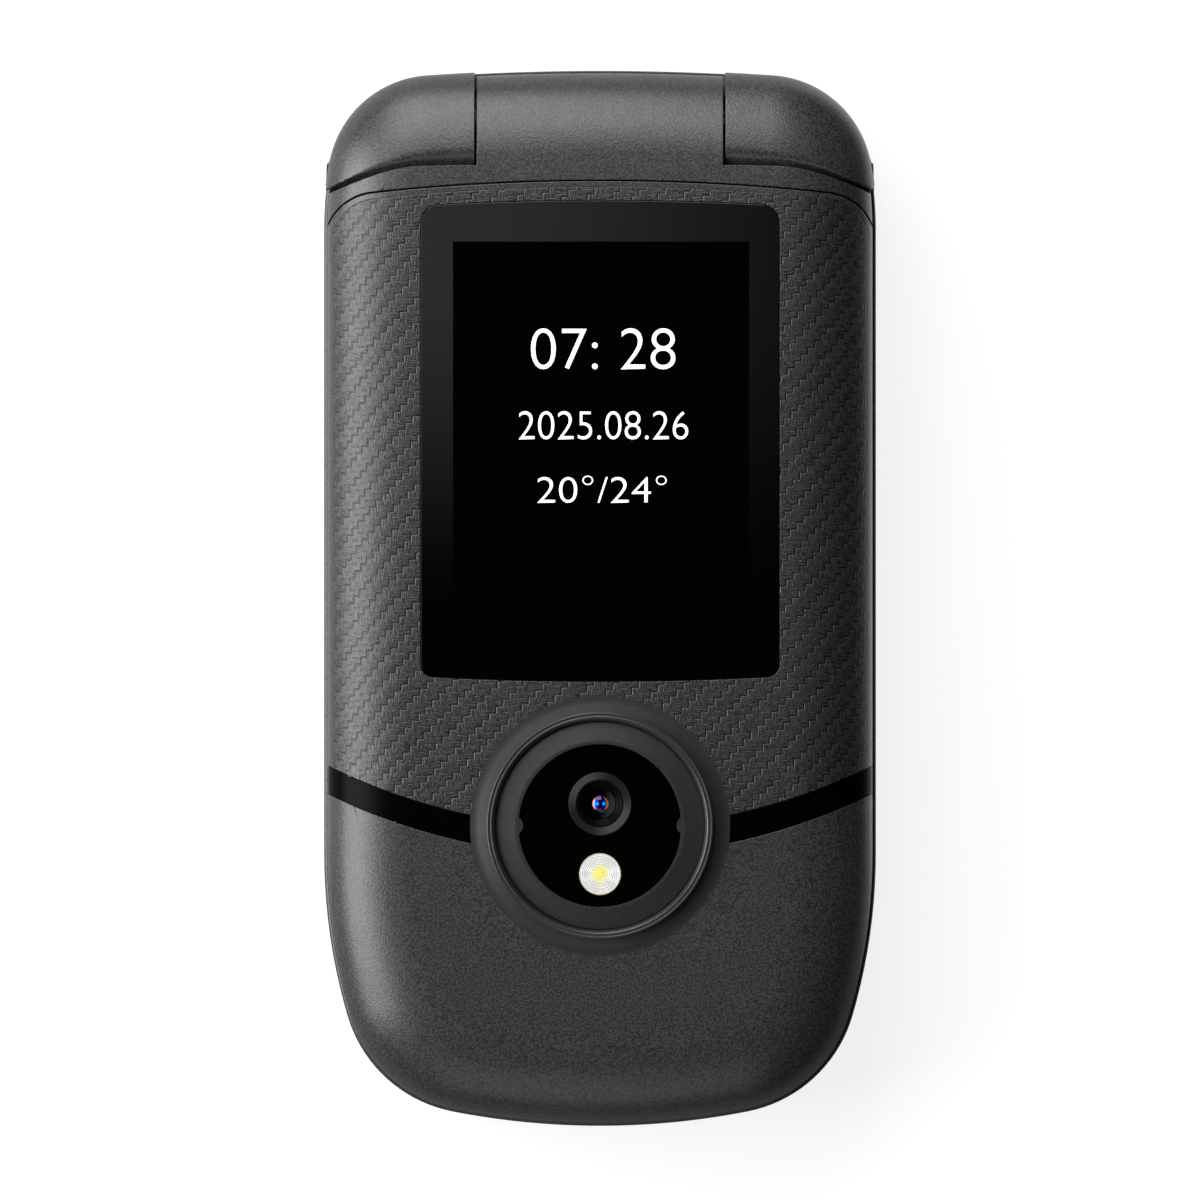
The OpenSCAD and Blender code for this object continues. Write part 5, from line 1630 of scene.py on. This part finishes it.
def lensGlassFinish():
    # A grey crescent of painted sheen on the disc; on the front element, painted reflections in the coating,
    # blues with a violet and an orange edge, which glow by emission
    finish = Finish("lensGlass", grey["black"], 0.02, emission=1.0)
    x, y = finish.place()[:2]
    up, disc = y - lensY, lens["discRadius"]
    far = hypot(x, up)
    front = far < lens["frontRadius"]
    # Painted sheen: the disc is grey towards its right
    crescentSheen = (x + up * -0.2).step(0.1, 1.3) * (1 - front) * (1 - far.step(disc - 0.1, disc))
    finish.put("Base Color", finish.mix(crescentSheen, grey["black"], (0.03, 0.03, 0.032)))
    colour = finish.mix(far.step(0, 0.8), (0.0, 0.0, 0.03), (0.004, 0.002, 0.06))
    for place, squash, reflectionFade, share, blue in lens["coatingReflections"]:
        spot = 1 - ((x - place) * (x - place) + up * up * squash).root().step(*reflectionFade)
        colour = finish.mix(spot * share, colour, blue)
    colour = finish.mix((x * -1).step(0.3, 0.55) * within(far, 0.58, 0.70) * 0.9, colour, lens["violetReflection"])
    colour = finish.mix(abs(x).step(0.35, 0.6) * (far > 0.69) * 0.9, colour, lens["orangeReflection"])
    # The painted reflections glow by emission on the front element
    finish.put("Emission Color", finish.mix(front * (1 - far.step(0.72, 0.8)), (0, 0, 0), colour))
    return finish.material


def flashFinish():
    # Clear Fresnel lens over two yellow dies turned by an eighth, with fine rings; painted shade at its left
    # and right, and it glows faintly by emission
    finish = Finish("flashClear", (0.85, 0.85, 0.85), 0.12, coat=0.5, coatRoughness=0.05, emission=0.12)
    x, y = finish.place()[:2]
    up = y - flashY
    far = hypot(x, up)
    along, beside = (x + up) * 0.7071, (x - up) * 0.7071
    white = finish.mix(far.step(0.7, 1.7), flash["warm"], flash["white"])
    # Painted shade, a grey patch at the left and at the right
    shade = 1 - ((abs(x) - 1.45) * (abs(x) - 1.45) + up * up).root().step(0.1, 0.6)
    white = finish.mix(shade * 0.55, white, flash["shade"])
    rings = offMiddle(far, flash["pitch"]) * 1.5 * (abs(up).step(0.3, 1.0) * 0.7 + 0.3)
    white = finish.mix(rings, white, flash["ring"])
    die = 1 - abs(abs(along) - flash["dieApart"]).step(*flash["dieWide"])
    die = die * (1 - abs(beside).step(*flash["dieLong"]))
    white = finish.mix(die * 0.95, white, flash["die"])
    white = finish.mix(far > flashRadius - 0.07, white, flash["border"])
    finish.put("Base Color", white)
    # The lens glows faintly with its own colour by emission, a painted brightness
    finish.put("Emission Color", white)
    return finish.material


def brushed(name, colour, roughness, lineSize=0.05, lineLength=2.0):
    # Metal with fine drawn lines along x
    finish = Finish(name, colour, roughness, metallic=1.0)
    x, y, z = finish.place()
    lines = finish.noise(1, 2.0, finish.point(x * (1 / lineLength), y * (1 / lineSize), z * (1 / lineSize)))
    finish.put("Roughness", lines * 0.2 + (roughness - 0.1))
    finish.put("Base Color", finish.mix(lines, tinted(colour, 0.8), tinted(colour, 1.15)))
    finish.bump(lines, 0.003)
    return finish.material


def turnedFinish(name, colour, roughness, pitch, centreY, **constants):
    # Metal faced on a lathe: rings, and a painted sheen in its colour that lies across them like a bow tie
    finish = Finish(name, colour, roughness, **constants)
    x, y = finish.place()[:2]
    up = y - centreY
    far = hypot(x, up)
    rings = offMiddle(far, pitch) * 2
    # Painted sheen: lighter towards the upper left and the lower right, and the fine hatch only there
    bowSheen = (x * up / (far * far) * -1 + 0.5).step(0.1, 1.0)
    hatch = offMiddle(x - up, 0.21) * 2 * bowSheen
    shade = bowSheen * 0.75 + rings * 0.12 + hatch * 0.25
    finish.put("Base Color", finish.mix(shade, tinted(colour, 0.12), tinted(colour, 1.15)))
    finish.uneven(roughness, 0.5, 0.1)
    finish.bump(rings, 0.004)
    return finish.material


def glowing(name):
    finish = Finish(name, (0.7, 0.7, 0.7), 0.4, emission=1.0)
    dots = finish.noise(0.25, 0.0)
    finish.put("Emission Color", finish.mix(dots, (0.95, 0.95, 0.95), (1, 1, 1)))
    return finish.material


def boardFinish():
    # Green mask over copper tracks, with tinned pads
    finish = Finish("circuitBoard", (0.01, 0.09, 0.04), 0.35)
    x, y = finish.place()[:2]
    lanes = offMiddle(x + finish.noise(6, 1.0) * 2, 1.1).step(0.18, 0.26)
    rows = offMiddle(y, 1.7).step(0.3, 0.38)
    tracks = (lanes + rows).least(1)
    green = finish.mix(tracks, (0.012, 0.10, 0.045), (0.006, 0.055, 0.025))
    pads = (offMiddle(x, 2.6) < 0.12) * (offMiddle(y, 3.4) < 0.09)
    pads = pads * (finish.noise(4, 0.0) > 0.52)
    finish.put("Base Color", finish.mix(pads, green, (0.75, 0.66, 0.42)))
    finish.put("Metallic", pads)
    finish.put("Roughness", 0.42 - pads * 0.12)
    finish.bump(1 - tracks, 0.03)
    return finish.material


def meshFinish(name, pitch, colour):
    # Sheet steel with staggered round holes
    finish = Finish(name, colour, 0.35, metallic=1.0)
    x, y = finish.place()[:2]
    row = (y / pitch).floor()
    cellX, cellY = ((x / pitch) + row * 0.5).fraction() - 0.5, (y / pitch).fraction() - 0.5
    hole = hypot(cellX, cellY) < 0.3
    finish.put("Base Color", finish.mix(hole, colour, (0.002, 0.002, 0.002)))
    finish.put("Metallic", 1 - hole)
    finish.put("Roughness", hole * 0.4 + 0.3)
    return finish.material


def portFinish():
    # Drawn steel shell; inside it a black tongue with gilt contacts
    finish = Finish("portMetal", (0.62, 0.62, 0.63), 0.25)
    x, y, z = finish.place()
    low, high = (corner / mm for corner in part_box("usb_port"))
    middle = (low.z + high.z) / 2
    tongue = (abs(x) < 3.1) * (abs(z - middle) < 0.5) * (y < high.y - 0.35)
    contact = tongue * (offMiddle(x, 0.5) < 0.25) * (y > low.y + 0.6) * (abs(x) < 2.8)
    dark = tongue * (1 - contact)
    scuff = finish.noise(0.4, 3.0)
    steel = finish.mix(scuff, (0.5, 0.5, 0.51), (0.68, 0.68, 0.69))
    steel = finish.mix(dark, steel, (0.012, 0.012, 0.013))
    finish.put("Base Color", finish.mix(contact, steel, (0.85, 0.6, 0.2)))
    finish.put("Metallic", 1 - dark)
    finish.put("Roughness", scuff * 0.15 + 0.2 + dark * 0.2)
    return finish.material


def jackFinish():
    # Black body with a plated sleeve round the bore
    black = (0.015, 0.015, 0.016)
    finish = Finish("jackBody", black, 0.4)
    x, y, z = finish.place()
    low, high = (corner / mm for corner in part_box("headphone_jack"))
    besideX, besideZ = x - (low.x + high.x) / 2, z - (low.z + high.z) / 2
    gap = offMiddle(y, socket["sleevePitch"]) < 0.06
    sleeve = (hypot(besideX, besideZ) < socket["sleeve"]) * (1 - gap)
    finish.put("Base Color", finish.mix(sleeve, black, (0.6, 0.58, 0.52)))
    finish.put("Metallic", sleeve)
    finish.put("Roughness", finish.noise(0.6, 2.0) * 0.15 + 0.25)
    return finish.material


def wrapFinish():
    # Battery: grey film with a dark band at the contact end and three gilt contacts
    finish = Finish("batteryWrap", (0.2, 0.2, 0.21), 0.35)
    x, y = finish.place()[:2]
    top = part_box("battery")[1].y / mm
    band = y > top - 5
    contact = (y > top - 0.1) * (abs(abs(x) - 1.25) < 0.6)
    film = finish.noise(2.5, 2.0)
    wrap = finish.mix(film, (0.17, 0.175, 0.185), (0.23, 0.235, 0.245))
    wrap = finish.mix(band, wrap, (0.02, 0.02, 0.022))
    finish.put("Base Color", finish.mix(contact, wrap, (0.85, 0.62, 0.25)))
    finish.put("Metallic", contact)
    finish.put("Roughness", film * 0.1 + 0.3)
    finish.bump(film, 0.03)
    return finish.material


def filmFinish():
    # Amber film with copper lines
    finish = Finish("flexFilm", (0.35, 0.13, 0.02), 0.3)
    y, z = finish.place()[1:]
    lines = offMiddle(y + z, 0.4).step(0.2, 0.3)
    finish.put("Base Color", finish.mix(lines, (0.62, 0.26, 0.08), (0.30, 0.12, 0.015)))
    finish.put("Roughness", finish.noise(1, 1.0) * 0.1 + 0.25)
    return finish.material


shine = {"specular": grey["shellGloss"]}
finishes = {
    "shell": matt("shellPlastic", grey["shell"], grey["shellRough"], mottle=grey["speckle"], **shine),
    "woven": wovenFinish(),
    "key": matt("keyPlastic", grey["key"], 0.36, depth=0.004),
    "call": matt("callPlastic", (0.018, 0.15, 0.05), 0.33, depth=0.004),
    "end": matt("endPlastic", (0.24, 0.018, 0.016), 0.33, depth=0.004),
    "ink": matt("legendInk", (0.72, 0.73, 0.74), 0.45, depth=0.002, mottle=0.03),
    "ring": matt("ringMetal", grey["ring"], 0.34, depth=0.002, mottle=0.03, **shine),
    "trim": matt("trimMetal", grey["trim"], 0.40, depth=0.003, mottle=0.2, specular=0.62),
    "stripe": glossFinish("stripeBlack", grey["black"], 0.3, specular=0.05),
    "window": windowFinish(),
    "screen": screenFinish(),
    "glow": glowing("screenWhite"),
    "cameraBlack": glossFinish("cameraBlack", grey["black"]),
    "lensBlack": matt("lensBlack", (0.0012, 0.0012, 0.0012), 0.4, depth=0.002, specular=0.12),
    "lensRing": turnedFinish("lensMetal", (0.05, 0.05, 0.052), 0.5, 0.3, lensY, metallic=0.0, specular=0.15),
    "lensGlass": lensGlassFinish(),
    "flash": flashFinish(),
    "led": matt("ledYellow", (0.85, 0.68, 0.06), 0.35, depth=0.004),
    "display": glossFinish("displayBlack", (0.004, 0.005, 0.009), 0.08),
    "board": boardFinish(),
    "steel": brushed("steel", (0.55, 0.55, 0.56), 0.3),
    "darkSteel": brushed("darkSteel", (0.05, 0.05, 0.052), 0.45),
    "rubber": matt("rubber", (0.018, 0.018, 0.019), 0.72, grain=0.3, depth=0.012),
    "silicone": matt("silicone", (0.42, 0.43, 0.44), 0.5, depth=0.006),
    "speaker": meshFinish("speakerMesh", 0.5, (0.25, 0.25, 0.26)),
    "port": portFinish(),
    "jack": jackFinish(),
    "wrap": wrapFinish(),
    "film": filmFinish(),
}


def makeOuterWindow():
    plate = pebble("outerGlass", lidStep, bottom=hingeZ)
    settle(plate, (0, 0, -pane["sunk"]))
    combine(plate, prism("rim", windowOutline(0), domeZ - cover["glassThick"], topZ + 1), "INTERSECT")
    return softEdges(plate, 0.06, clean=0.01)


# The edge of the lid's crowned top, and the normal and reach of each side of it
crownEdge = outline(lidStep + (body["roundWidth"] - lidStep) * (1 - math.cos(body["domeEnd"])))
crownSides = [(a[1] - b[1], b[0] - a[0], a[1] * b[0] - a[0] * b[1])
              for a, b in zip(crownEdge, crownEdge[1:] + crownEdge[:1])]


def crownZ(x, y):
    # Height of the lid's crowned top at a place, by its share of the way from the middle to the edge
    share = max((sideX * x + sideY * y) / reach for sideX, sideY, reach in crownSides)
    return domeZ + body["crown"] * (1 - share * share)


def outerPicture():
    made = []
    for key in ("time", "date", "third"):
        text, centre, size = pane[key]
        flat = lettering("screen_" + key, text, centre, size, weight=pane["weight"])
        made.append(laid(flat, crownZ, -pane["sunk"] - pane["ink"] / 2, pane["ink"] * 1.5))
    return made


def add(obj, bodyName, slotName, finish, *nodes):
    # Gives a piece its finish and body, and hides the imported nodes that it stands for; slotName is not used
    obj.data.materials.clear()
    obj.data.materials.append(finishes[finish])
    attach(obj, bodyName)
    if nodes:
        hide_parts(*nodes)


add(makeInnerHousing(), "lid", "shell_plastic", "shell", "lid_inner_housing")
add(makeFrontCover(), "lid", "woven_shell", "woven", "lid_front_cover")
add(makeStripe(), "lid", "gloss_black", "stripe", "stripe_inlay")
print("lid housings done")
add(makeRing(), "lid", "ring_metal", "ring", "camera_bezel")
add(makeTrim(), "lid", "trim_metal", "trim", "camera_trim")
add(makeCameraGlass(), "lid", "camera_black", "cameraBlack", "camera_window")
add(makeLensRing(), "lid", "lens_metal", "lensRing", "lens_ring")
add(makeLensBarrel(), "lid", "camera_black", "lensBlack", "camera_module")
add(makeLensGlass(), "lid", "camera_black", "lensGlass")
add(makeFlashLens(), "lid", "flash_clear", "flash", "flash_lens")
print("camera done")
add(makeOuterWindow(), "lid", "window_black", "window", "outer_window")
add(makeInnerWindow(), "lid", "window_black", "screen", "inner_window")
for picture in outerPicture() + screenPicture():
    add(picture, "lid", "window_black", "glow")
add(makeBumpers(), "lid", "rubber", "rubber", "lid_bumpers")
add(makeScrews("lidScrews", "lid_screws"), "lid", "steel", "steel", "lid_screws")
print("lid done")
add(makeUpperHousing(), "base", "shell_plastic", "shell", "base_upper_housing")
add(makeLowerHousing(), "base", "shell_plastic", "shell", "base_lower_housing")
add(makeBatteryCover(), "base", "shell_plastic", "shell", "battery_cover")
add(makeScrews("baseScrews", "base_screws"), "base", "steel", "steel", "base_screws")
add(makeRocker(), "volume_rocker", "shell_plastic", "shell", "volume_rocker")
print("base done")
for name in keys["names"]:
    kind = {"call_key": "call", "end_key": "end"}.get(name, "key")
    add(makeKey(name), name, kind + "_plastic", kind, name)
    add(keyLegend(name), name, kind + "_plastic", "ink")
print("keys done")

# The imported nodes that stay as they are, each with its finish
kept = {
    "board": ["main_board", "lid_board"],
    "steel": ["shield_cans", "vibration_motor", "sim_holder", "lid_magnet"],
    "darkSteel": ["hinge_cartridge", "hinge_pin", "hinge_bush"],
    "display": ["outer_display", "inner_display"],
    "silicone": ["keypad_mat"],
    "speaker": ["earpiece", "loudspeaker"],
    "film": ["hinge_flex", "antenna"],
    "port": ["usb_port"],
    "jack": ["headphone_jack"],
    "wrap": ["battery"],
    "led": ["flash_led"],
}
for finish, nodes in kept.items():
    for node in nodes:
        obj = frame["nodes"][node]
        obj.data.materials.clear()
        obj.data.materials.append(finishes[finish])
dressed = sum(kept.values(), [])
bare = [node for node, obj in frame["nodes"].items() if not obj.hide_render and node not in dressed]
print("finishes done; nodes without one:", bare)


stage = {
    "lens": 900,
    "sensor": 36,
    "view": 0.11957,
    "viewY": -0.0002,
    "height": 0.010,
    "floorHalf": 1.6,
    "ambient": 0.035,
    "ambientGloss": 0.008,
    "floorWhite": 0.84,
    "floorGrey": (0.32, 0.32, 0.32),
    "floorGloss": 0.5,
    # where gloss sees the floor, in millimetres: from the chin up, paler to the right, and its end there
    "mirrored": {"up": (-45, -15), "right": (15, 35), "paler": 0.8, "end": (45, 70)},
    # each lamp: direction from the phone in degrees (turn from +X, height), distance and size in metres,
    # brightness, and whether gloss mirrors it
    "lamps": {
        "leftSoftbox": (178, 31, 0.50, (0.40, 0.36), 6.0, True),
        "topSoftbox": (104, 39, 0.32, (0.20, 0.28), 4.2, True),
        "chinSoftbox": (-94, 32, 0.50, (0.30, 0.30), 0.8, True),
        "leftFill": (150, 58, 0.50, (0.30, 0.30), 1.3, False),
    },
}


def makeStage():
    bpy.ops.object.select_all(action="DESELECT")
    bpy.ops.mesh.primitive_plane_add(size=2 * stage["floorHalf"], location=(0, 0, 0))
    floor = bpy.context.object
    floor.name = "floor"
    finish = Finish("floorWhite", stage["floorGrey"], 0.9, specular=0.0)
    path = finish.node("LightPath", output="Is Camera Ray")
    seen = path.most(path.beside("Is Transmission Ray")) * stage["floorWhite"]
    finish.put("Emission Color", (1, 1, 1, 1))
    x, y = finish.place()[:2]
    part = stage["mirrored"]
    mirrored = y.step(*part["up"]) * (x.step(*part["right"]) * part["paler"] + 1) * (1 - x.step(*part["end"]))
    mirrored = mirrored * stage["floorGloss"]
    finish.put("Emission Strength", seen + path.beside("Is Glossy Ray") * mirrored)
    floor.data.materials.append(finish.material)
    camera = bpy.data.objects.new("camera", bpy.data.cameras.new("camera"))
    bpy.context.scene.collection.objects.link(camera)
    camera.data.lens = stage["lens"]
    camera.data.sensor_width = stage["sensor"]
    camera.data.clip_end = 10
    camera.location = (0, stage["viewY"], stage["view"] * stage["lens"] / stage["sensor"] + stage["height"])
    bpy.context.scene.camera = camera


def makeLight():
    world = bpy.data.worlds.new("world")
    bpy.context.scene.world = world
    world.use_nodes = True
    tree = world.node_tree
    background = tree.nodes["Background"]
    background.inputs["Color"].default_value = (1, 1, 1, 1)
    path = tree.nodes.new("ShaderNodeLightPath")
    strength = stage["ambient"]
    for ray, value in (("Is Glossy Ray", stage["ambientGloss"]), ("Is Camera Ray", 1.0)):
        mixer = tree.nodes.new("ShaderNodeMix")
        if isinstance(strength, float):
            mixer.inputs["A"].default_value = strength
        else:
            tree.links.new(strength, mixer.inputs["A"])
        mixer.inputs["B"].default_value = value
        tree.links.new(path.outputs[ray], mixer.inputs["Factor"])
        strength = mixer.outputs["Result"]
    tree.links.new(strength, background.inputs["Strength"])
    for name, (turn, rise, distance, size, brightness, mirrored) in stage["lamps"].items():
        lamp = bpy.data.objects.new(name, bpy.data.lights.new(name, "AREA"))
        bpy.context.scene.collection.objects.link(lamp)
        lamp.data.shape = "RECTANGLE"
        lamp.data.size, lamp.data.size_y = size
        lamp.data.energy = brightness * math.pi * size[0] * size[1]
        turn, rise = math.radians(turn), math.radians(rise)
        way = Vector((math.cos(turn) * math.cos(rise), math.sin(turn) * math.cos(rise), math.sin(rise)))
        lamp.location = way * distance + Vector((0, 0, hingeZ * mm))
        lamp.rotation_mode = "QUATERNION"
        lamp.rotation_quaternion = (-way).to_track_quat("-Z", "Y")
        lamp.visible_camera = False
        lamp.visible_glossy = mirrored
    bpy.context.scene.view_settings.view_transform = "Standard"


makeStage()
makeLight()
print("stage done")
